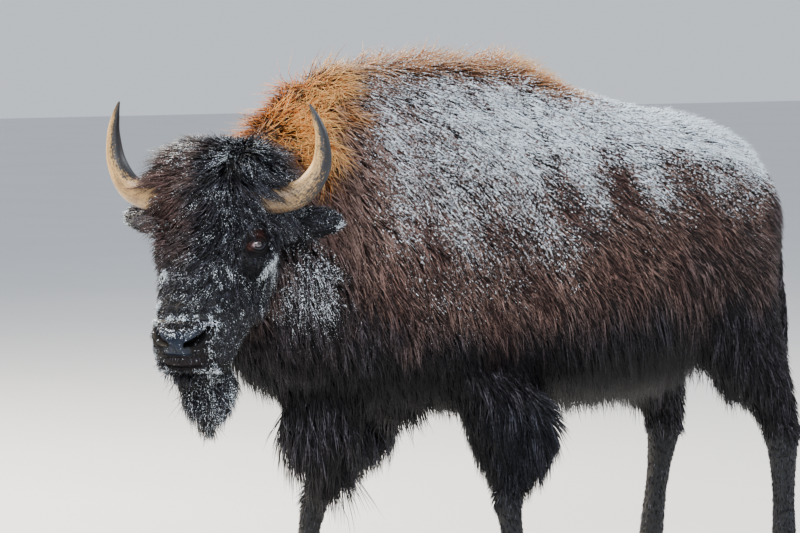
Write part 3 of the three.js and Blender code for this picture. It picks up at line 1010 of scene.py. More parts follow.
def refined(points: Array, triangles: Array, inside: Callable[[Array], Array]) -> Pair:
    """Splits the edges whose middles are inside a region.

    A triangle with three split edges becomes four, with two three, and with one two, so the
    surface stays closed at the region's border.

    Args:
        points: The surface's points.
        triangles: Its triangles.
        inside: Says which places are in the region.

    Returns:
        The new points and triangles.
    """
    edges = edges_from(triangles)
    middle = points[edges].mean(axis=1)
    split = inside(middle)
    size = len(points)
    code = edges[:, 0].astype(np.int64) * size + edges[:, 1]
    number = np.where(split, size + np.cumsum(split) - 1, -1)
    corners = triangles.astype(np.int64)
    ends = [(0, 1), (1, 2), (2, 0)]
    mids = []
    for i, j in ends:
        low = np.minimum(corners[:, i], corners[:, j])
        high = np.maximum(corners[:, i], corners[:, j])
        mids.append(number[np.searchsorted(code, low * size + high)])
    table = np.concatenate([corners, np.stack(mids, axis=1)], axis=1)
    count = (table[:, 3:] >= 0).sum(axis=1)
    made = [corners[count == 0]]
    whole = table[count == 3]
    for trio in ((0, 3, 5), (3, 1, 4), (5, 4, 2), (3, 4, 5)):
        made.append(whole[:, trio])
    for turn in range(3):
        a, b, c = turn, (turn + 1) % 3, (turn + 2) % 3
        ab, bc, ca = 3 + a, 3 + b, 3 + c
        one = table[(count == 1) & (table[:, ab] >= 0)]
        made += [one[:, (a, ab, c)], one[:, (ab, b, c)]]
        two = table[(count == 2) & (table[:, ab] < 0)]
        made += [two[:, (a, b, bc)], two[:, (a, bc, ca)], two[:, (ca, bc, c)]]
    return np.concatenate([points, middle[split]]), np.concatenate(made)


@dataclass
class Surface:
    """A surface with what the coat needs to know at each of its points."""

    points: Array
    triangles: Array
    fields: Fields = field(default_factory=dict)

    def at(self, pick: Array, share: Array) -> Fields:
        """Every field at places inside triangles, from the shares of their three corners."""
        corners = self.triangles[pick]
        out = {}
        for key, values in {"place": self.points, **self.fields}.items():
            flat = values.reshape(len(values), -1)
            mixed = np.einsum("nk,nkd->nd", share, flat[corners])
            out[key] = mixed if values.ndim == 2 else mixed[:, 0]
        return out


@dataclass
class Skin:
    """The one skin under the coat, from nose to tail and down to the hooves.

    The flesh nodes are grown by a hair so that they meet, joined into one surface on a grid of
    voxels, smoothed, made finer on the head, moved in by the coat's depth, drawn down into the
    tops of the hooves and shaped round the eyes and under the nose.
    """

    head: HeadFrame
    grown: float = 0.0012
    voxel: float = 0.0145
    joined_rounds: int = 22  # how often the joined nodes are smoothed
    head_rounds: int = 6  # and the head again, once it is finer
    blur_rounds: int = 14  # how often the regions' shares are blurred
    steps: int = 5  # in which the surface is moved in
    fold_limit: float = 0.4  # a normal's part along its first way under which it has folded
    unfold_rounds: int = 60
    hoof_drop: float = 0.048  # how far the ends of the legs are drawn down
    node_gap: float = 0.022  # between the places that stand for a node
    tone: float = 0.15  # how light the hair's ground is, between the tufts
    snow_share: float = 0.55  # how much of the snow gets down to it
    orbit_tilt: float = 0.30
    orbit_level: float = 0.009
    surface: Surface = field(init=False)

    def build(self, finish: Finish) -> Piece:
        """Works out the surface and its fields, and makes the piece."""
        points, triangles = self._joined()
        log.info("skin joined: %d triangles", len(triangles))
        points = relaxed(points, edges_from(triangles), self.joined_rounds)
        points, triangles = refined(points, triangles, self._on_head)
        points, triangles = refined(points, triangles, self._at_features)
        edges = edges_from(triangles)
        near = ramp(self._head_distance(points), 0.42, 0.30)
        points = relaxed(points, edges, self.head_rounds, near)
        weights = self._weights(points, edges)
        points = self._moved_in(points, triangles, edges, weights)
        points = self._shaped(points)
        self.surface = Surface(points, triangles)
        self._fill_fields(weights)
        piece = new_mesh("skin", points, triangles, finish)
        fields = self.surface.fields
        ground = np.full(len(points), self.tone)
        marks = np.stack([ground, ground, fields["snow"] * self.snow_share], axis=1)
        set_triple(piece, "coat_a", marks)
        colours = np.stack([fields[key] for key in ("gold", "dark", "red")], axis=1)
        set_triple(piece, "coat_b", colours)
        set_triple(piece, "skin_bare", fields["bare"])
        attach(piece, "root")
        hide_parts(*FLESH)
        log.info("skin: %d triangles", len(triangles))
        return piece

    def _joined(self) -> Pair:
        """The flesh nodes as one closed surface."""
        rows, faces, count = [], [], 0
        for name in FLESH:
            points, triangles = node_surface(name)
            rows.append(points + vertex_normals(points, triangles) * self.grown)
            faces.append(triangles + count)
            count += len(points)
        source = new_mesh("flesh", np.concatenate(rows), np.concatenate(faces))
        remesh = source.modifiers.new("voxels", "REMESH")
        remesh.mode = "VOXEL"
        remesh.voxel_size = self.voxel
        graph = bpy.context.evaluated_depsgraph_get()
        mesh = bpy.data.meshes.new_from_object(source.evaluated_get(graph))
        out = points_of(mesh), triangles_of(mesh)
        bpy.data.meshes.remove(mesh)
        spare = source.data
        bpy.data.objects.remove(source)
        bpy.data.meshes.remove(spare)
        return out

    def _head_distance(self, points: Array) -> Array:
        """How far each place is from the middle of the face."""
        return np.linalg.norm((self.head.local(points) - (0, 0.06, -0.2)) * (1, 1, 0.8), axis=1)

    def _on_head(self, points: Array) -> Array:
        """Whether each place is on the head."""
        return self._head_distance(points) < 0.32

    def _at_features(self, points: Array) -> Array:
        """Whether each place is near an eye or on the front of the muzzle."""
        local = self.head.local(points)
        local[:, 0] = np.abs(local[:, 0])
        eye = np.linalg.norm(local - EYE_PLACE, axis=1) < 0.075
        return eye | ((local[:, 1] > 0.10) & (local[:, 2] < -0.29))

    def _weights(self, points: Array, edges: Array) -> Array:
        """How much each point belongs to each region: 1 or 0 by the nearest node, then blurred."""
        places, owners = [], []
        for number, region in enumerate(REGIONS.values()):
            for node in region.nodes:
                spots = scattered(*node_surface(node), self.node_gap, 5)
                places.append(spots)
                owners.append(np.full(len(spots), number))
        owner = np.concatenate(owners)[nearest(points, np.concatenate(places))]
        weights = np.eye(len(REGIONS))[owner]
        for _ in range(self.blur_rounds):
            weights = 0.4 * weights + 0.6 * neighbour_mean(weights, edges)
        return weights

    def _depth(self, points: Array, weights: Array) -> Array:
        """How far the skin lies under the tips of the coat."""
        depth = blended(weights, "depth")
        local = self.head.local(points)
        side, forward, up = np.abs(local[:, 0]), local[:, 1], local[:, 2]
        on_head = shares(weights)["head"]
        front = ramp(forward, 0.03, 0.12) * ramp(up, -0.06, -0.20)
        depth = depth - on_head * 0.024 * front
        flank = ramp(side, 0.10, 0.16) * ramp(forward, -0.14, -0.04) * ramp(up, -0.02, -0.08)
        depth = depth - on_head * 0.014 * flank * (1 - 0.6 * front)
        return np.maximum(depth, 0.005)

    def _moved_in(self, points: Array, triangles: Array, edges: Array, weights: Array) -> Array:
        """The surface moved in by the coat's depth, in steps that are smoothed.

        Where it has folded over itself, in narrow places such as an ear, it is smoothed until
        it lies open again. The legs' ends are then drawn down into the tops of the hooves.
        """
        first = vertex_normals(points, triangles)
        depth = self._depth(points, weights) / self.steps
        for _ in range(self.steps):
            points = points - vertex_normals(points, triangles) * depth[:, None]
            points = relaxed(points, edges, 2)
        facing = np.sum(vertex_normals(points, triangles) * first, axis=1)
        folded = (facing < self.fold_limit).astype(float)[:, None]
        for _ in range(4):
            folded = np.clip(4.0 * neighbour_mean(folded, edges), 0, 1)
        log.info("skin: %d points unfolded", int(folded.sum()))
        points = relaxed(points, edges, self.unfold_rounds, folded[:, 0])
        points[:, 2] -= self.hoof_drop * ramp(points[:, 2], 0.26, 0.12)
        return points

    def _shaped(self, points: Array) -> Array:
        """The skin laid under the lids and under the nose."""
        local = self.head.local(points)
        for sign in (1, -1):
            fore, up, out = in_socket(local, sign)
            apart = np.hypot(fore, up)
            level = self.orbit_level + self.orbit_tilt * fore - 0.014 * ramp(apart, 0.050, 0.034)
            share = ramp(apart, 0.095, 0.050) * (np.abs(out) < 0.09)
            move = (share * (level - out))[:, None] * EYE_LOOK * (sign, 1, 1)
            local = local + move
        side, forward, up = local.T
        inner = ramp(up, -0.350, -0.368) * ramp(up, -0.512, -0.498) * ramp(np.abs(side), 0.096, 0.088)
        limit = nose_front(side, up) - 0.005 - 0.030 * inner
        below = ramp(up, -0.30, -0.345) * ramp(up, -0.53, -0.50) * (np.abs(side) < 0.108)
        move = np.where(forward > 0.08, (limit - forward) * below, 0.0)
        local[:, 1] += np.where(below > 0, move, 0.0)
        return self.head.at(local)

    def _fill_fields(self, weights: Array) -> None:
        """Every field that the coat reads."""
        points, triangles = self.surface.points, self.surface.triangles
        normals = vertex_normals(points, triangles)
        marks = Markings(self.head)
        fields = self.surface.fields
        fields["normal"] = normals
        fields["weights"] = weights
        fields["depth"] = self._depth(points, weights)
        fields.update(marks.at(points, normals, weights))
        fields["bare"] = marks.bare(points)


# ---- the coat
class Chart(Enum):
    """How a coat piece's roots are laid out flat on its bake map."""

    TRUNK = "round the body's length"
    HEAD = "round an upright line in the head"
    EARS = "round each ear's length"
    LEGS = "round each leg"


@dataclass(frozen=True)
class Patch:
    """One piece of the coat: the regions it covers, its map, and the size of its clumps."""

    name: str
    regions: tuple[str, ...]
    chart: Chart
    clump: float
    half: int = 0  # 1 for the left half, -1 for the right
    above: float = -9.0  # between two heights in the head's frame
    below: float = 9.0
    bends: int = 1
    slot: str = "coat"


PATCHES = (
    Patch("coat_crown", ("head",), Chart.HEAD, 0.017, above=-0.10, slot="dark_coat"),
    Patch("coat_face", ("head",), Chart.HEAD, 0.013, below=-0.10, slot="dark_coat"),
    Patch("coat_muzzle", ("muzzle", "jaw"), Chart.HEAD, 0.011, slot="dark_coat"),
    Patch("coat_beard", ("beard",), Chart.HEAD, 0.022, bends=2, slot="dark_coat"),
    Patch("coat_ears", ("ear",), Chart.EARS, 0.010, slot="dark_coat"),
    Patch("coat_neck_left", ("neck",), Chart.TRUNK, 0.022, half=1),
    Patch("coat_neck_right", ("neck",), Chart.TRUNK, 0.022, half=-1),
    Patch("coat_brisket", ("brisket",), Chart.HEAD, 0.036, bends=2, slot="dark_coat"),
    Patch("coat_shoulder_left", ("fore",), Chart.TRUNK, 0.021, half=1),
    Patch("coat_shoulder_right", ("fore",), Chart.TRUNK, 0.021, half=-1),
    Patch("coat_flank_left", ("barrel",), Chart.TRUNK, 0.020, half=1),
    Patch("coat_flank_right", ("barrel",), Chart.TRUNK, 0.020, half=-1),
    Patch("coat_rump", ("hind",), Chart.TRUNK, 0.019),
    Patch("coat_forelegs", ("arm",), Chart.LEGS, 0.026, slot="dark_coat"),
    Patch("coat_thighs", ("thigh",), Chart.LEGS, 0.024, slot="dark_coat"),
    Patch("coat_shanks", ("shank",), Chart.LEGS, 0.010, slot="dark_coat"),
    Patch("coat_tail", ("tail",), Chart.HEAD, 0.020, bends=2, slot="dark_coat"),
)


NOSE_PATCH = Patch("coat_nose", ("muzzle",), Chart.HEAD, 0.008, slot="dark_coat")


def turned_about(vectors: Array, axes: Array, angle: Array) -> Array:
    """Each row turned about its unit axis by its angle."""
    cos, sin = np.cos(angle)[:, None], np.sin(angle)[:, None]
    along = axes * np.sum(axes * vectors, axis=1, keepdims=True)
    return vectors * cos + np.cross(axes, vectors) * sin + along * (1 - cos)


# The shares of its length at which a tuft has a ring of corners, and the rings' widths. The
# first number is how often the tuft bends; the last ring is its tip.
STOPS = {1: (0.0, 0.5, 1.0), 2: (0.0, 0.36, 0.72, 1.0)}
RING_WIDTHS = {1: (0.70, 1.0, 0.0), 2: (0.62, 1.0, 0.72, 0.0)}


@dataclass(frozen=True)
class Tufts:
    """The tufts of one piece, a row for each: flattened three-sided spikes.

    A tuft's line leaves the skin along start and bends until it runs along end. Its tip is
    drawn over gap towards the middle of its clump, and sideways is its curl.
    """

    root: Array
    normal: Array
    start: Array
    end: Array
    length: Array
    width: Array
    gap: Array
    sideways: Array
    pull: float = 0.62
    sunk: float = 0.004  # how deep the root is under the skin
    half_wide: float = 0.5
    half_thick: float = 0.26
    curl_turn: float = 5.2  # radians of a sine, from root to tip

    def line(self, t: float) -> Array:
        """The tufts' middles at share t of their lengths."""
        bent = t * self.start + t * t / 2 * (self.end - self.start)
        line = self.root - self.normal * self.sunk + self.length[:, None] * bent
        line = line + self.gap * (self.pull * t * t)
        return line + self.sideways * math.sin(t * self.curl_turn)

    def corners(self, bends: int) -> Array:
        """Every tuft's corners: three for each ring, and one for its tip."""
        lines = [self.line(t) for t in STOPS[bends]]
        rows = []
        for k, wide in enumerate(RING_WIDTHS[bends][:-1]):
            way = unit(lines[k + 1] - lines[max(k - 1, 0)])
            across = unit(np.cross(self.normal, way))
            over = np.cross(way, across)
            ring = []
            for angle in (90, 210, 330):
                a = math.cos(math.radians(angle)) * self.half_wide
                b = math.sin(math.radians(angle)) * self.half_thick
                ring.append(lines[k] + (across * a + over * b) * (self.width * wide)[:, None])
            rows.append(np.stack(ring, axis=1))
        return np.concatenate([*rows, lines[-1][:, None]], axis=1)


@dataclass
class Coat:
    """The tufts over a surface, in pieces."""

    head: HeadFrame
    surface: Surface
    finish: Finish
    patch_width: float = 0.003  # of a tuft's own patch on the map
    highest: float = 1.804  # that a tip may stand

    def build(self, patches: Sequence[Patch], seed: int) -> list[Piece]:
        """Makes pieces of the coat.

        Args:
            patches: What to make.
            seed: Starts the random draws.

        Returns:
            The pieces.
        """
        return [self._piece(patch, seed + k) for k, patch in enumerate(patches)]

    def _lie(self, at: Fields) -> Array:
        """The way the hair lies: each region's, with the forehead's and the crown's sweeps."""
        place, weights = at["place"], at["weights"]
        local = self.head.local(place)
        side, forward, up = local.T
        ways = blended(weights, "way")
        share = shares(weights)
        face = share["face"]
        left = np.tanh((place[:, 0] - self.head.shift[0]) / 0.08)
        fall = ways[:, 2] * (1 - 0.92 * ramp(at["normal"][:, 2], 0.78, 0.97))
        body = np.stack([ways[:, 0] * left, ways[:, 1], fall], axis=1)
        outward = np.tanh(side / 0.05)
        front = share["head"] * ramp(forward, -0.06, 0.04) * ramp(up, -0.36, -0.26)
        sweep = -0.95 + 1.35 * ramp(side + 0.15 * (up + 0.1), 0.00, 0.15)
        sweep = sweep * (0.55 + 0.45 * ramp(up, -0.30, -0.08))
        across = ways[:, 0] * outward * (1 - front) + front * sweep
        back = ways[:, 1] * (1 - front)
        crown = share["head"] * ramp(up, 0.02, 0.09)
        back = back - crown * 1.1 * ramp(forward, -0.16, -0.02) + crown * 0.6 * ramp(forward, -0.06, -0.2)
        wide = share["head"] * ramp(np.abs(side), 0.05, 0.11) * ramp(up, 0.0, 0.05)
        across = across + crown * (0.5 * outward - 0.5 * front) + wide * outward * 0.9
        rise = ways[:, 2] * (1 - 0.6 * crown)
        own = self.head.turned(np.stack([across, -back, rise], axis=1))
        lie = own * face[:, None] + body * (1 - face)[:, None]
        wave = smooth_noise(place, 0.16, 11) * 0.22
        lie = lie + np.array([0.0, 0.3, 0.0]) * ((1 - face) * wave)[:, None]
        flat = flatten_to(lie, at["normal"])
        spare = flatten_to(np.array([[0.0, 0.35, 0.1]]), at["normal"])
        return unit(flat + spare * ramp(np.linalg.norm(flat, axis=1), 0.25, 0.05)[:, None])

    def _collar(self, place: Array) -> Pair:
        """How much the hair stands out along a horn, and which way, in the collar at its root."""
        side, forward, up = self.head.local(place).T
        apart = np.hypot(forward - 0.005, up + 0.002)
        share = 0.86 * ramp(apart, 0.120, 0.070) * ramp(np.abs(side), 0.05, 0.09)
        share = share * ramp(np.abs(side), 0.24, 0.20) * ramp(up, -0.090, -0.050)
        way = np.stack([np.sign(side), 0.1 + 0.4 * (forward - 0.005), 0.4 * (up + 0.002)], axis=1)
        return share[:, None], unit(self.head.turned(way))

    def _length(self, at: Fields) -> Array:
        """The tufts' length at each place."""
        place, weights = at["place"], at["weights"]
        local = self.head.local(place)
        side, forward, up = local.T
        length = blended(weights, "length")
        share = shares(weights)
        bridge = ramp(forward, 0.03, 0.12) * ramp(up, -0.13, -0.22)
        chaps = ramp(forward, 0.02, -0.12) * ramp(up, -0.12, -0.26)
        length = length * (1 + share["head"] * (-0.42 * bridge + 0.65 * chaps))
        eye = np.linalg.norm(np.stack([np.abs(side), forward, up], axis=1) - EYE_PLACE, axis=1)
        length = length * (1 - 0.45 * ramp(eye, 0.125, 0.055) * (share["head"] > 0.2))
        length = length * (1 - 0.55 * Markings(self.head).lidded(local))
        length = length * (1 - 0.30 * at["gold"]) * (1 + 0.75 * self._collar(place)[0][:, 0])
        z = place[:, 2]
        length = length + share["tail"] * 0.09 * ramp(z, 0.95, 0.80)
        arm = share["arm"] + share["thigh"]
        length = length * (1 - 0.55 * arm * ramp(z, 0.52, 0.40))
        length = length * (1 + 0.12 * smooth_noise(place, 0.12, 12))
        return length + 1.15 * self._loft(at) + 0.09 * self._fringe(at)

    def _loft(self, at: Fields) -> Array:
        """How far the tips stand past the coat's depth: over the horns, the nape and the rump."""
        place, normal, gold = at["place"], at["normal"], at["gold"]
        share = shares(at["weights"])
        side, forward, up = self.head.local(place).T
        y = place[:, 1] - self.head.shift[1]
        wig = share["head"] * ramp(np.abs(side), 0.05, 0.12) * ramp(up, 0.02, 0.07)
        wig = wig * ramp(forward, 0.10, 0.03) * ramp(forward, -0.30, -0.20)
        ridge = 1.6 * ramp(normal[:, 2], 0.45, 0.85) * ramp(y, -0.62, -0.45)
        rim = gold * (0.55 + 0.45 * ramp(normal[:, 2], 0.2, 0.8) + ridge) * ramp(y, 0.4, 0.1)
        crust = share["hind"] * ramp(normal[:, 2], 0.30, 0.75) * ramp(y, 1.10, 0.95)
        edge = share["head"] * ramp(side, -0.06, -0.11) * ramp(up, 0.02, -0.05)
        return 0.050 * wig * (1 - 0.35 * (side < 0)) + 0.042 * rim + 0.018 * crust + 0.010 * edge

    def _fringe(self, at: Fields) -> Array:
        """Where the belly's and the stifle's longer hair hangs."""
        share = shares(at["weights"])
        y, z = at["place"][:, 1] - self.head.shift[1], at["place"][:, 2]
        part = share["barrel"] + share["hind"] + share["thigh"]
        under = ramp(at["normal"][:, 2], 0.15, -0.45) + share["thigh"] * ramp(at["normal"][:, 1], -0.1, -0.6)
        return part * np.clip(under, 0, 1) * ramp(y, -0.25, 0.20) * ramp(y, 1.0, 0.8) * ramp(z, 0.62, 0.74)

    def _uv(self, patch: Patch, place: Array) -> Array:
        """Each root's place on the piece's map, from 0 to 1 both ways.

        The map goes round the part and along it: the angle round the body's length and the
        distance along it, or the angle round an upright line and the height. A piece on both
        ears or on four legs has one strip for each.
        """
        flat = place - self.head.shift
        strips, strip = 1, np.zeros(len(place))
        if patch.chart is Chart.TRUNK:
            angle = np.arctan2(flat[:, 0] * (patch.half or 1), flat[:, 2] - 1.2)
            pair = (angle, flat[:, 1])
        elif patch.chart is Chart.HEAD:
            middle = place.mean(axis=0)
            angle = np.arctan2(place[:, 0] - middle[0], middle[1] - place[:, 1])
            pair = (angle, place[:, 2])
        elif patch.chart is Chart.EARS:
            local = self.head.local(place)
            angle = np.arctan2(local[:, 2] + 0.076, local[:, 1] + 0.115)
            pair, strips, strip = (angle, np.abs(local[:, 0])), 2, local[:, 0] > 0
        else:
            fore, left = flat[:, 1] < 0.3, flat[:, 0] > 0
            strip = fore * 2 + left
            angle = np.zeros(len(place))
            for k in range(4):
                mine = strip == k
                if not mine.any():
                    continue
                middle = np.polynomial.Polynomial.fit(flat[mine, 2], flat[mine, 1], 2)
                off = flat[mine, 1] - middle(flat[mine, 2])
                angle[mine] = np.arctan2(np.abs(flat[mine, 0]) - 0.205, off)
            pair, strips = (angle, flat[:, 2]), 4
        low = [values.min() for values in pair]
        span = [max(values.max() - values.min(), 1e-6) for values in pair]
        u, v = ((values - a) / b for values, a, b in zip(pair, low, span))
        return np.stack([(strip + u * 0.97 + 0.01) / strips, v * 0.985 + 0.005], axis=1)

    def _roots(self, patch: Patch, rng: Random) -> Fields:
        """The fields at the roots, spread over the patch by area and by the coat's density."""
        points, triangles = self.surface.points, self.surface.triangles
        fields = self.surface.fields
        weights = fields["weights"][triangles].mean(axis=1)
        names = list(REGIONS)
        mine = np.isin(np.argmax(weights, axis=1), [names.index(name) for name in patch.regions])
        centre = points[triangles].mean(axis=1)
        if patch.half:
            mine &= (centre[:, 0] - self.head.shift[0]) * patch.half > 0
        height = centre[:, 2] - self.head.origin[2]
        mine &= (height > patch.above) & (height <= patch.below)
        count = blended(weights, "count")
        bare = fields["bare"][triangles][:, :, 0].mean(axis=1)
        a, b, c = (points[triangles[:, k]] for k in range(3))
        flat = np.cross(b - a, c - a)
        area = np.linalg.norm(flat, axis=1) / 2
        gold = fields["gold"][triangles].mean(axis=1)
        # The beard's top is inside the chin.
        hidden = ramp(flat[:, 2] / (2 * area), 0.45, 0.75) * shares(weights)["beard"]
        amount = area * count * mine * (1 - ramp(bare, 0.35, 0.75)) * (1 + 1.2 * gold) * (1 - hidden)
        # The collar round a horn is denser, and the right half of the body is thinner.
        amount = amount * (1 + 1.2 * self._collar(centre)[0][:, 0]) * (0.75 if patch.half < 0 else 1.0)
        total = amount.cumsum()
        wanted = np.arange(int(total[-1])) + rng.random(int(total[-1]))
        pick = np.minimum(np.searchsorted(total, wanted), len(total) - 1)
        u, v = in_triangle(rng, len(pick))
        out = self.surface.at(pick, np.stack([1 - u - v, u, v], axis=1))
        out["normal"] = unit(out["normal"])
        return out

    def _piece(self, patch: Patch, seed: int) -> Piece:
        """One piece of the coat: the mesh of its tufts, its map and its markings."""
        rng = np.random.default_rng(seed)
        at = self._roots(patch, rng)
        number = len(at["place"])
        centre, marks = cell_noise(at["place"], patch.clump, seed)
        points = self._grown(at, centre, marks, rng).corners(patch.bends)
        each = points.shape[1]
        stops = STOPS[patch.bends]
        faces, spots = self._pattern(len(stops) - 1)
        whole = (faces[None] + (np.arange(number) * each)[:, None, None]).reshape(-1, 3)
        piece = new_mesh(patch.name, points.reshape(-1, 3), whole, self.finish)
        uv = self._uv(patch, at["place"])[:, None, :] + (spots - 0.5)[None] * self.patch_width
        layer = piece.data.uv_layers.new(name="OFBake")
        layer.data.foreach_set("uv", np.clip(uv, 0, 1).astype(np.float32).ravel())
        along = np.repeat(stops, [3] * (len(stops) - 1) + [1])[None, :]
        tone, snow = self._shade(at, marks, rng)
        sets = np.broadcast_arrays(tone[:, None], along, snow[:, None] * (0.55 + 0.45 * along))
        set_triple(piece, "coat_a", np.stack(sets, axis=-1).reshape(-1, 3))
        colours = np.stack([at[key] for key in ("gold", "dark", "red")], axis=1)
        set_triple(piece, "coat_b", np.repeat(colours, each, axis=0))
        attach(piece, "root")
        log.info("%s: %d tufts, %d triangles", patch.name, number, len(whole))
        return piece

    def _grown(self, at: Fields, centre: Array, marks: Array, rng: Random) -> Tufts:
        """The tufts at their roots; marks are three numbers that a clump's tufts share.

        The two angles of a tuft are such that its tip stands about the coat's depth over the
        skin. Golden hair is shaggy, hair round a horn's root stands out along the horn, and
        long hair on the sides and the underside hangs.
        """
        root, normal, gold = at["place"], at["normal"], at["gold"]
        number = len(root)
        lie = self._lie(at)
        mess = 0.17 + 0.75 * gold
        turn = (marks[:, 0] - 0.5) * 2.2 * mess + rng.normal(size=number) * 0.5 * mess
        lie = turned_about(lie, normal, turn)
        length = self._length(at) * (0.78 + 0.44 * marks[:, 1]) * rng.uniform(0.72, 1.15, number)
        slope = self._slope(at, marks, length, rng)
        bow = 0.35 - 0.25 * gold
        first, last = (np.arcsin(np.clip(slope * (1 + k * bow), 0, 0.97)) for k in (1, -1))
        start = lie * np.cos(first)[:, None] + normal * np.sin(first)[:, None]
        end = lie * np.cos(last)[:, None] + normal * np.sin(last)[:, None]
        collar, outward = self._collar(root)
        start = unit(start * (1 - collar) + outward * collar)
        end = unit(end * (1 - 0.85 * collar) + outward * (0.85 * collar))
        heavy = ramp(length, 0.05, 0.12) * (1 - gold) * ramp(normal[:, 2], 0.6, 0.0)
        heavy = (heavy * (1 + 0.8 * ramp(normal[:, 2], 0.0, -0.6)))[:, None] * (0, 0, 1)
        start, end = unit(start - 0.30 * heavy), unit(end - 1.1 * heavy)
        width = blended(at["weights"], "width")
        width = width * rng.uniform(0.7, 1.35, number) * (1 - 0.52 * gold)
        curl = (marks[:, 1] - 0.5) * 0.16 + rng.normal(size=number) * 0.045
        sideways = np.cross(normal, lie) * (curl * length * (1 + 1.5 * gold))[:, None]
        gap = flatten_to(centre - root, normal)
        return Tufts(root, normal, start, end, length, width, gap, sideways)

    def _slope(self, at: Fields, marks: Array, length: Array, rng: Random) -> Array:
        """Each tuft's rise over its length, no higher than the highest tip may be."""
        upright, gold = at["normal"][:, 2], at["gold"]
        rise = at["depth"] * (1 + 0.30 * gold) * (1.06 - (0.5 - 0.25 * gold) * rng.random(len(gold)))
        rise = (rise + self._loft(at)) * (0.85 + 0.3 * marks[:, 2])
        rise = np.minimum(rise, (self.highest - at["place"][:, 2]) / np.maximum(upright, 0.2))
        steep = 0.95 - 0.45 * ramp(length, 0.06, 0.10) * (1 - gold) * (1 - ramp(at["snow"], 0.6, 0.9))
        return np.clip(rise / length, 0.05, steep)

    def _shade(self, at: Fields, marks: Array, rng: Random) -> Pair:
        """How light each tuft is, and how snowy: uneven from clump to clump and tuft to tuft, with painted
        shade on tufts that face down, painted shade on golden hair that faces the key light, and a painted
        highlight on golden hair that faces up.
        """
        place, normal, gold = at["place"], at["normal"], at["gold"]
        tone = np.clip(0.30 * marks[:, 1] + 0.70 * rng.random(len(gold)), 0, 1)
        # Painted shade: tufts that face down are darker.
        tone = tone * (1 - 0.75 * ramp(normal[:, 2], -0.15, -0.7))
        # Painted shade: golden hair that faces the key light is darker; the pale shoulder hair is lighter.
        tone = tone - 0.95 * gold * ramp(normal @ KEY_LIGHT_SIDE, 0.0, 0.6) + 0.20 * at["pale"]
        # Painted highlight: golden hair that faces up is paler.
        tone = tone + 0.70 * gold * ramp(normal[:, 2], 0.55, 0.90) * (place[:, 1] > -0.62)
        uneven = rng.uniform(-1, 1, len(gold)) * (0.28 - 0.16 * at["dark"])
        return tone, at["snow"] * (0.85 + 0.3 * marks[:, 0]) * (1 + uneven)

    def _pattern(self, rings: int) -> Pair:
        """A tuft's triangles, and each corner's place on its own patch of the map."""
        faces, spots = [(0, 2, 1)], [(0.0, 0.0), (0.66, 0.0), (0.33, 0.0)]
        for ring in range(rings):
            low, high = ring / rings, (ring + 1) / rings
            for j in range(3):
                a, b = ring * 3 + j, ring * 3 + (j + 1) % 3
                left, right = j / 3, (j + 1) / 3
                if ring == rings - 1:
                    faces.append((a, b, rings * 3))
                    spots += [(left, low), (right, low), ((left + right) / 2, high)]
                else:
                    faces += [(a, b, b + 3), (a, b + 3, a + 3)]
                    spots += [(left, low), (right, low), (right, high)]
                    spots += [(left, low), (right, high), (left, high)]
        return np.array(faces), np.array(spots)


# ---- nose, eyes, horns and hooves
def closed_tube(rows: Array) -> Pair:
    """A grid of rings closed into a skin, each end with a point in its middle.

    Args:
        rows: Rings by points round by 3, turning to the right seen from the first ring's end.

    Returns:
        The points, and the triangles.
    """
    rings, round_count, _ = rows.shape
    quads = grid_faces(rings, round_count, True)
    faces = np.concatenate([quads[:, (0, 1, 2)], quads[:, (0, 2, 3)]])
    points = np.concatenate([rows.reshape(-1, 3), rows[0].mean(0)[None], rows[-1].mean(0)[None]])
    here = np.arange(round_count)
    after = (here + 1) % round_count
    base = (rings - 1) * round_count
    first = np.stack([after, here, np.full(round_count, rings * round_count)], axis=1)
    last = np.stack([base + here, base + after, np.full(round_count, rings * round_count + 1)], 1)
    return points, np.concatenate([faces, first, last])


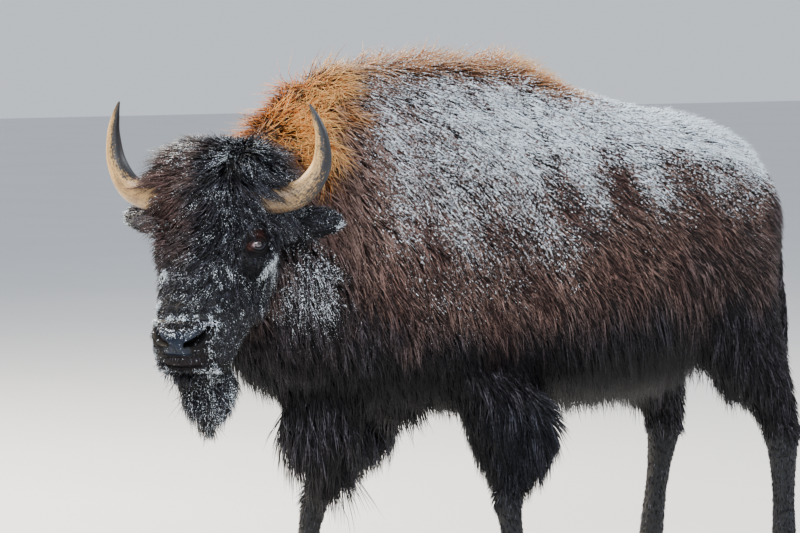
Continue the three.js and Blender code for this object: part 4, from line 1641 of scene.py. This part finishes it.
@dataclass
class Nose:
    """The nose pad, the nostrils and the lips, on the front of the muzzle.

    A point is at side = 0.105 sin(angle), and as far forward as the muzzle's profile less the
    fall of a circle to the sides. A nostril is a pit round a short curve, with a raised wing.
    """

    head: HeadFrame
    columns: int = 260
    rows: int = 170
    half_angle: float = math.radians(80)
    top: float = -0.345
    bottom: float = -0.516
    pit_depth: float = 0.027
    mouth_up: float = -0.490
    surface: Surface = field(init=False)

    def build(self, finish: Finish) -> Piece:
        """Makes the piece."""
        angle = np.linspace(-self.half_angle, self.half_angle, self.columns)
        up = np.linspace(self.top, self.bottom, self.rows)
        angle, up = (grid.ravel() for grid in np.meshgrid(angle, up))
        side = 0.105 * np.sin(angle)
        forward = nose_front(side, up)
        local = np.stack([side, forward, up], axis=1)
        out = np.stack([np.sin(angle), np.cos(angle), 0 * angle], axis=1)
        height, fields = self._relief(side, up)
        edge = np.minimum.reduce([
            ramp(np.abs(angle), self.half_angle, self.half_angle - 0.2),
            ramp(up, self.top, self.top - 0.016), ramp(up, self.bottom, self.bottom + 0.018),
        ])
        local = local + out * (height - 0.016 * (1 - edge))[:, None]
        quads = grid_faces(self.rows, self.columns, False)[:, ::-1]
        piece = new_mesh("nose", self.head.at(local), quads, finish)
        self._keep(self.head.at(local), quads, fields, edge)
        set_triple(piece, "nose_a", fields[0])
        set_triple(piece, "nose_b", fields[1])
        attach(piece, "root")
        return piece

    def _keep(self, points: Array, quads: Array, fields: Pair, edge: Array) -> None:
        """Keeps the surface with the fields that the short hair round the pad reads."""
        triangles = np.concatenate([quads[:, (0, 1, 2)], quads[:, (0, 2, 3)]])
        self.surface = Surface(points, triangles)
        normals = vertex_normals(points, triangles)
        names = list(REGIONS)
        weights = np.zeros((len(points), len(names)))
        weights[:, names.index("muzzle")] = 1.0
        pad, pit, lip = fields[0].T
        naked = np.maximum.reduce([pad, ramp(pit, 0.05, 0.3), 0.85 * lip, 1 - ramp(edge, 0.2, 0.6)])
        keep = self.surface.fields
        keep.update(Markings(self.head).at(points, normals, weights))
        keep.update(normal=normals, weights=weights, depth=np.full(len(points), 0.006))
        keep["bare"] = np.stack([naked, naked, naked], axis=1)
        keep["snow"] = np.clip(0.46 + fields[1][:, 0] * 0.55, 0, 1.1)

    def _nostril(self, apart: Array, up: Array) -> tuple[Array, Array, Array, Array]:
        """A nostril: its pit, the painted shade round the pit, its wing and its inner rim.

        The pit lies outside and below a short curve. The wing is past its far side, and the
        rim is along the curve's other side.
        """
        keys = np.linspace(0, 1, 40)
        curve = through(NOSTRIL, keys)
        gaps = np.hypot(apart[:, None] - curve[:, 0], (up[:, None] - curve[:, 1]))
        first = np.argmin(gaps, axis=1)
        share, far = keys[first], gaps[np.arange(len(up)), first]
        away = (apart - curve[first, 0]) * 0.68 - (up - curve[first, 1]) * 0.73
        reach = far * np.where(away > 0, 1.0, -1.0)
        span = 0.0135 + 0.0115 * np.sin(math.pi * np.clip(share, 0.04, 0.96))
        past = ramp(np.abs(away), 0.35 * far, 0.75 * far + 1e-9) + (far < 0.004)
        past = np.clip(past, 0, 1)
        pit = ramp(reach, -0.0012, 0.0022) * ramp(reach, span * 0.95, span * 0.38) * past
        pit_shade = ramp(reach, -0.001, 0.003) * ramp(reach, span * 1.35, span * 0.75) * past
        wing = bell((reach - span - 0.005) / 0.009) * ramp(apart, 0.035, 0.062)
        return pit, pit_shade, wing, bell((reach + 0.0035) / 0.0030)

    def _relief(self, side: Array, up: Array) -> tuple[Array, Pair]:
        """How far each place stands out, and its markings."""
        apart = np.abs(side)
        pit, pit_shade, wing, rim = self._nostril(apart, up)
        groove = bell(side / 0.0020) * ramp(up, -0.425, -0.445)
        mouth = bell((up - self.mouth_up - 0.10 * apart) / 0.0036)
        lip = ramp(up, -0.452, -0.458) * ramp(up, -0.489, -0.482)
        crease = bell((up + 0.4535 - 0.06 * apart) / 0.0022) * ramp(apart, 0.07, 0.05)
        lower = ramp(up, -0.492, -0.499) * ramp(up, -0.515, -0.504)
        height = -self.pit_depth * pit + 0.0050 * wing + 0.0016 * rim
        height += -0.0022 * groove - 0.008 * mouth + 0.0022 * lip * ramp(apart, 0.08, 0.03)
        height += 0.0015 * lower * ramp(apart, 0.06, 0.02) - 0.0030 * crease
        height += 0.0006 * smooth_noise(np.stack([side, up, 0 * up], 1), 0.02, 31)
        half = 0.043 + 0.020 * ramp(up, -0.43, -0.385)
        rise = -0.386 + 0.020 * ramp(apart, 0.03, 0.07)
        pad = ramp(apart, half + 0.004, half - 0.004) * ramp(up - rise, 0.001, -0.004)
        pad = pad * ramp(up, -0.456, -0.450)
        pad = np.maximum(pad, 0.6 * rim * ramp(up - rise, 0, -0.01)) * (1 - pit_shade)
        lips = np.maximum(lip, lower) * ramp(apart, 0.075, 0.055) * (1 - 0.8 * crease)
        # The pit and the ring round it are painted near black as shade in the hollow.
        pit = np.maximum(pit, 0.80 * pit_shade)
        frost = 0.95 * bell((up - rise - 0.004) / 0.005) + 0.45 * ramp(apart, 0.075, 0.09)
        frost = frost + 0.95 * ramp(up, -0.356, -0.350)
        frost = frost + 0.75 * bell((up + 0.4955) / 0.006) * ramp(apart, 0.02, 0.05)
        rim_light = 0.8 * bell((up - rise + 0.005) / 0.003) * ramp(apart, half, half - 0.01)
        rim_light = rim_light + 0.7 * bell((up + 0.4495) / 0.0018) * ramp(apart, half, 0.03)
        fields = np.stack([pad, pit, lips * (1 - pad)], 1), np.stack([frost, rim_light, 0 * pad], 1)
        return height, fields


@dataclass
class Eye:
    """An eyeball and its lids, in the socket's own axes."""

    head: HeadFrame
    sign: int
    radius: float = 0.0212
    half_wide: float = 0.0185
    half_high: float = 0.0125

    def _placed(self, fore: Array, up: Array, out: Array) -> Array:
        """Places in the socket's axes as places in the model."""
        rows = fore[:, None] * EYE_NOSEWARD + out[:, None] * EYE_LOOK
        rows[:, 2] += up
        return self.head.at((rows + EYE_PLACE) * (self.sign, 1, 1))

    def build(self, wet: Finish, lids: Finish) -> None:
        """Makes the ball and the ring of lids."""
        rows, columns = 40, 72
        polar = np.linspace(0.02, math.pi - 0.02, rows)[:, None]
        turn = around(columns)[None, :]
        swell = 1 + 0.07 * ramp(polar, 0.70, 0.30)
        fore = np.sin(polar) * np.cos(turn) * self.radius
        up = np.sin(polar) * np.sin(turn) * self.radius
        out = (np.cos(polar) * swell * self.radius) + 0 * turn
        ball = self._placed(fore.ravel(), up.ravel(), out.ravel() - 0.0015)
        points, faces = closed_tube(ball.reshape(rows, columns, 3)[:, :: -self.sign])
        piece = new_mesh(sided("eyeball", self.sign), points, faces, wet)
        local = self.head.local(points) * (self.sign, 1, 1) - EYE_PLACE
        gaze = unit(EYE_LOOK - EYE_NOSEWARD * 0.22 + (0, 0, 0.02))
        way = unit(local)
        level = way @ unit(np.cross((0, 0, 1.0), gaze))
        away = np.hypot(level, way[:, 2]) + (way @ gaze < 0) * 1.0
        set_triple(piece, "eye_lie", np.stack([away, level, way[:, 2]], axis=1))
        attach(piece, "root")
        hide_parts(sided("eye", self.sign))
        self._lids(lids)

    def _folds(self, reach: Array, cos: Array, upper: Array) -> tuple[Array, ...]:
        """The lids' relief going out from the opening: rim, fold, brow, bag and wrinkles."""
        rim = 0.0026 * bell((reach - 0.0035) / 0.0026)
        fold = -0.0042 * bell((reach - (0.0105 + 0.002 * cos)) / 0.0022) * upper
        brow = 0.0060 * bell((reach - 0.019) / 0.008) * upper
        bag = 0.0028 * bell((reach - 0.0125) / 0.0045) * (1 - upper)
        wrinkle = -0.0022 * bell((reach - 0.0075) / 0.0016) * (1 - upper)
        wrinkle = wrinkle - 0.0016 * bell((reach - 0.0185) / 0.0018) * (1 - upper)
        return rim, fold, brow, bag, wrinkle

    def _lids(self, finish: Finish) -> None:
        """The ring of lids: it rises from the ball to a rolled rim, folds, and meets the skin.

        The opening is a lens, sharper at the corner towards the nose. Going out from it, the
        height over the socket is a blend of the ball's own bulge and the skin's plane.
        """
        rings, columns = 64, 160
        share = np.linspace(0, 1, rings)[:, None]
        turn = around(columns)[None, :]
        cos, sin = np.cos(turn), np.sin(turn)
        high = np.where(sin > 0, self.half_high, self.half_high * 0.82)
        open_fore = self.half_wide * cos + 0.003 * np.maximum(cos, 0) ** 3
        open_up = high * sin * (1 - 0.30 * np.abs(cos) ** 3) - 0.002 * np.maximum(cos, 0) ** 2
        reach = 0.001 + 0.047 * share**1.25
        length = np.hypot(open_fore, open_up)
        fore = open_fore * (1 + reach / length)
        up = open_up * (1 + reach / length)
        fore = np.where(share < 0.001, open_fore * 0.93, fore)
        up = np.where(share < 0.001, open_up * 0.93, up)
        apart = np.hypot(fore, up)
        ball = np.sqrt(np.maximum((self.radius + 0.0012) ** 2 - apart**2, 0.0))
        bulge = np.where(apart < self.radius, ball, 0)
        plane = 0.009 + 0.30 * fore
        lid = 0.0235 * np.exp(-((apart / 0.030) ** 2) * 1.15) + 0.002
        upper = ramp(sin, -0.1, 0.5)
        rim, fold, brow, bag, wrinkle = self._folds(reach, cos, upper)
        near = np.maximum(bulge, lid + rim + fold + brow + bag + wrinkle)
        share_out = ramp(apart, 0.026, 0.046)
        out = near * (1 - share_out) + (plane + brow * 0.5 + bag * 0.3) * share_out
        out = out - 0.010 * ramp(reach, 0.036, 0.047)
        out = np.where(share < 0.001, ball - 0.004, out)
        shape = np.broadcast_shapes(fore.shape, out.shape)
        flat = [np.broadcast_to(value, shape).ravel() for value in (fore, up, out)]
        points = self._placed(*flat)
        quads = grid_faces(rings, columns, True)
        quads = quads[:, ::-1] if self.sign > 0 else quads
        piece = new_mesh(sided("eyelids", self.sign), points, quads, finish)
        # The wet rim, painted pale as its sheen, mostly along the lower lid.
        rim_sheen = bell((reach - 0.0024) / 0.0012) * (0.10 + 0.90 * (1 - upper))
        corner = bell((fore - 0.026) / 0.013, (up + 0.006) / 0.010)
        above = 0.75 * bell((fore + 0.002) / 0.026, (up - 0.032) / 0.014)
        creases = np.abs(fold + wrinkle) / 0.004
        sets = [np.broadcast_to(v, shape).ravel() for v in (rim_sheen, np.maximum(corner, above), creases)]
        set_triple(piece, "lid_lie", np.stack(sets, axis=1))
        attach(piece, "root")


@dataclass
class Horn:
    """A horn: an oval carried along a curve, with growth rings near its root."""

    head: HeadFrame
    sign: int
    rings: int = 110
    round_count: int = 40
    # Along the curve: place in the head's frame (side, forward, up) and the half sizes.
    stations: tuple[tuple[float, ...], ...] = (
        (0.100, 0.010, 0.000, 0.047, 0.046), (0.128, 0.008, -0.004, 0.046, 0.045),
        (0.205, 0.002, -0.008, 0.044, 0.043), (0.282, -0.016, 0.014, 0.038, 0.037),
        (0.334, -0.030, 0.084, 0.030, 0.029), (0.342, -0.024, 0.168, 0.020, 0.019),
        (0.328, -0.012, 0.228, 0.0115, 0.011), (0.312, -0.003, 0.268, 0.003, 0.003),
    )

    def build(self, finish: Finish) -> Piece:
        """Makes the piece."""
        table = np.array(self.stations)
        steps = np.linalg.norm(np.diff(table[:, :3], axis=0), axis=1)
        length = np.concatenate([[0], steps.cumsum()])
        share = 1 - (1 - np.linspace(0, 1, self.rings)) ** 1.15
        at = through(np.column_stack([length, table]), share * length[-1])
        line = at[:, :3] * (self.sign, 1, 1)
        way = unit(np.gradient(line, axis=0))
        up = unit(np.cross(way, (0, 1.0, 0)))
        fore = np.cross(up, way)
        turn = around(self.round_count)
        root = ramp(share, 0.50, 0.12)[:, None]
        wave = np.sin(share[:, None] * 118 + 1.4 * np.sin(turn * 2 + 1) + 2 * np.sin(share[:, None] * 31))
        size = 1 + 0.010 * root * wave + 0.010 * np.sin(turn * 5 + 3)[None] * (1 - share[:, None])
        rows = line[:, None] + size[..., None] * (
            up[:, None] * (np.cos(turn)[:, None] * at[:, None, 3:4])
            + fore[:, None] * (np.sin(turn)[:, None] * at[:, None, 4:5])
        )
        points, faces = closed_tube(self.head.at(rows))
        piece = new_mesh(sided("horn_sheath", self.sign), points, faces, finish)
        # Both horns are blacker on the side turned from the key light: partly their own colour, partly
        # painted shade.
        side = np.array([1.0, -0.25, 0.15])  # both horns are darker on the animal's left
        shaded_side = unit(np.broadcast_to(side, line.shape))
        facing = np.einsum("rcd,rd->rc", unit(rows - line[:, None]), shaded_side)
        spread = np.broadcast_to(share[:, None], facing.shape)
        # The near horn's root takes the dark mottle fully and the far horn's only a third: partly wear,
        # partly painted shade on the near horn.
        wear_and_shade = np.full(facing.shape, 1.0 if self.sign > 0 else 0.35)
        sets = np.stack([spread, facing * 0.5 + 0.5, wear_and_shade], axis=-1)
        lie = np.concatenate([sets.reshape(-1, 3), sets[0, :1], sets[-1, :1]])
        set_triple(piece, "horn_lie", lie)
        ways = np.stack(np.broadcast_arrays(np.cos(turn), np.sin(turn), spread * 1.6), -1)
        set_triple(piece, "horn_way", np.concatenate([ways.reshape(-1, 3), ways[0, :1], ways[-1, :1]]))
        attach(piece, "root")
        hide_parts(sided("horn", self.sign))
        return piece


@dataclass
class Hoof:
    """A cloven hoof: two claws with rounded tops and flat soles, and two dewclaws behind."""

    node: str
    rings: int = 26
    round_count: int = 48

    def _claw(self, middle: Array, half: Array, side: int) -> Pair:
        """One claw: superellipse rings that lean forward and narrow towards the coronet."""
        share = np.linspace(0, 1, self.rings)[:, None]
        turn = around(self.round_count)[None, :]
        cos, sin = np.cos(turn), np.sin(turn)
        bevel = np.sqrt(np.clip(1 - (1 - np.minimum(share / 0.05, 1)) ** 2, 0, 1)) * 0.05 + 0.95
        taper = (1.0 - 0.24 * share) * bevel * (1 - 0.25 * ramp(share, 0.82, 1.0))
        wide = half[0] * 0.5 - 0.0022
        x = np.sign(cos) * np.abs(cos) ** 0.72 * wide * taper
        y = np.sign(sin) * np.abs(sin) ** 0.80 * half[1] * taper
        toe = np.clip(-y / half[1], 0, 1)
        x = x * (1 - 0.30 * toe**2) - side * 0.006 * toe**2
        y = y + share * 0.024
        rise = share * (half[2] * 2 - 0.014 * (1 - toe)) + 0 * turn
        ridges = 1 + 0.008 * np.sin(share * 60 + 2 * sin)
        rows = np.stack([x * ridges + side * (half[0] * 0.5 + 0.001) + middle[0],
                         y * ridges + middle[1] - 0.010, rise + middle[2] - half[2]], axis=-1)
        return closed_tube(rows)

    def _dewclaw(self, middle: Array, half: Array, side: int) -> Pair:
        """A small blunt cone behind the pastern, pointing down and back."""
        share = np.linspace(0, 1, 12)[:, None]
        turn = around(20)[None, :]
        size = 0.0155 * np.sqrt(np.clip(1 - share**2.2, 0, 1)) + 0.0005
        x = np.cos(turn) * size * 0.8 + side * 0.021 + middle[0]
        y = np.sin(turn) * size + middle[1] + half[1] * 0.72 + share * 0.010
        z = middle[2] + half[2] + 0.030 - share * 0.030 + 0 * turn
        return closed_tube(np.stack([x, y, z], axis=-1)[:, ::-1])

    def build(self, finish: Finish) -> Piece:
        """Makes the piece where its node stands."""
        low, high = (np.array(corner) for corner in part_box(self.node))
        middle, half = (low + high) / 2, (high - low) / 2
        parts = [self._claw(middle, half, side) for side in (1, -1)]
        parts += [self._dewclaw(middle, half, side) for side in (1, -1)]
        starts = np.cumsum([0] + [len(points) for points, _ in parts])
        points = np.concatenate([part[0] for part in parts])
        faces = np.concatenate([part[1] + start for part, start in zip(parts, starts)])
        piece = new_mesh(self.node.replace("hoof", "claws"), points, faces, finish)
        set_number(piece, "rise", (points[:, 2] - low[2]) / (high[2] - low[2]))
        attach(piece, "root")
        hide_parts(self.node)
        return piece


# ---- stage
WARM, COOL = (1.0, 0.88, 0.72), (0.92, 0.96, 1.0)


@dataclass
class Stage:
    """The floor, the studio light and the camera."""

    shift: Array
    distance: float = 12.0
    height: float = 1.95
    look_height: float = 1.076
    aside: float = -0.205
    azimuth: float = math.radians(55)
    lens: float = 173.9

    def build(self) -> None:
        """Makes the floor, the lights and the camera."""
        self._floor()
        self._light("key", 2.6, (-4.8, -2.6, 6.0), 2200, WARM)
        self._light("fill", 5.0, (6.0, -6.5, 5.5), 1250, COOL)
        self._light("rim", 4.0, (2.5, 5.5, 6.0), 600, COOL)
        world = bpy.data.worlds.new("studio")
        world.use_nodes = True
        sky = world.node_tree.nodes["Background"]
        sky.inputs["Color"].default_value = (0.80, 0.86, 0.95, 1.0)
        sky.inputs["Strength"].default_value = 0.92
        bpy.context.scene.world = world
        self._camera()

    def _floor(self) -> None:
        """A pale floor, wide and flat."""
        corners = np.array([(-40, -40, 0), (40, -40, 0), (40, 40, 0), (-40, 40, 0)], float)
        sheet = Sheet("floor")
        colour = sheet.mix(sheet.noise(0.8, 3.0), (0.60, 0.61, 0.62), (0.68, 0.69, 0.70))
        finish = sheet.finish(Base_Color=colour, Roughness=0.85)
        floor = new_mesh("floor", corners, np.array([(0, 1, 2, 3)]), finish, smooth=False)

    def _light(self, name: str, size: float, place: tuple[float, ...], power: float, colour: Colour) -> None:
        """A square soft light of one size, place and power in watts, aimed at the shoulders."""
        lamp = bpy.data.lights.new(name, "AREA")
        lamp.size, lamp.energy, lamp.color = size, power, colour
        obj = bpy.data.objects.new(name, lamp)
        obj.location = place
        aim = Vector((0, -0.2, 1.1)) - obj.location
        obj.rotation_euler = aim.to_track_quat("-Z", "Y").to_euler()
        bpy.context.scene.collection.objects.link(obj)

    def _camera(self) -> None:
        """The camera, level with the shoulders and far off."""
        towards = np.array([math.sin(self.azimuth), -math.cos(self.azimuth), 0.0])
        right = np.array([math.cos(self.azimuth), math.sin(self.azimuth), 0.0])
        middle = self.aside * right + self.shift
        target = Vector(middle + np.array([0, 0, self.look_height]))
        data = bpy.data.cameras.new("camera")
        data.lens, data.sensor_width, data.clip_end = self.lens, 36.0, 200.0
        camera = bpy.data.objects.new("camera", data)
        camera.location = Vector(middle + towards * self.distance + np.array([0, 0, self.height]))
        camera.rotation_euler = (target - camera.location).to_track_quat("-Z", "Y").to_euler()
        bpy.context.scene.collection.objects.link(camera)
        bpy.context.scene.camera = camera


def main() -> None:
    """Builds every sub-assembly in order and reports it."""
    logging.basicConfig(level=logging.INFO, format="%(message)s")
    head = HeadFrame.found()
    log.info("figure shifted by %s", np.round(head.shift, 4))
    Stage(head.shift).build()
    skin = Skin(head)
    skin.build(SkinFinish().material("skin"))
    hair = HairFinish().material("hair")
    Coat(head, skin.surface, hair).build(PATCHES, 100)
    nose = Nose(head)
    nose.build(NoseFinish().material("nose"))
    Coat(head, nose.surface, hair).build((NOSE_PATCH,), 200)
    wet, lids = EyeFinish().material("eye"), LidFinish().material("lids")
    for sign in (1, -1):
        Eye(head, sign).build(wet, lids)
    horn = HornFinish().material("horn")
    for sign in (1, -1):
        log.info("%s done", Horn(head, sign).build(horn).name)
    hoof = HoofFinish().material("hoof")
    for end in ("front", "hind"):
        for node in paired(f"hoof_{end}"):
            log.info("%s done", Hoof(node).build(hoof).name)


if __name__ == "__main__":
    main()
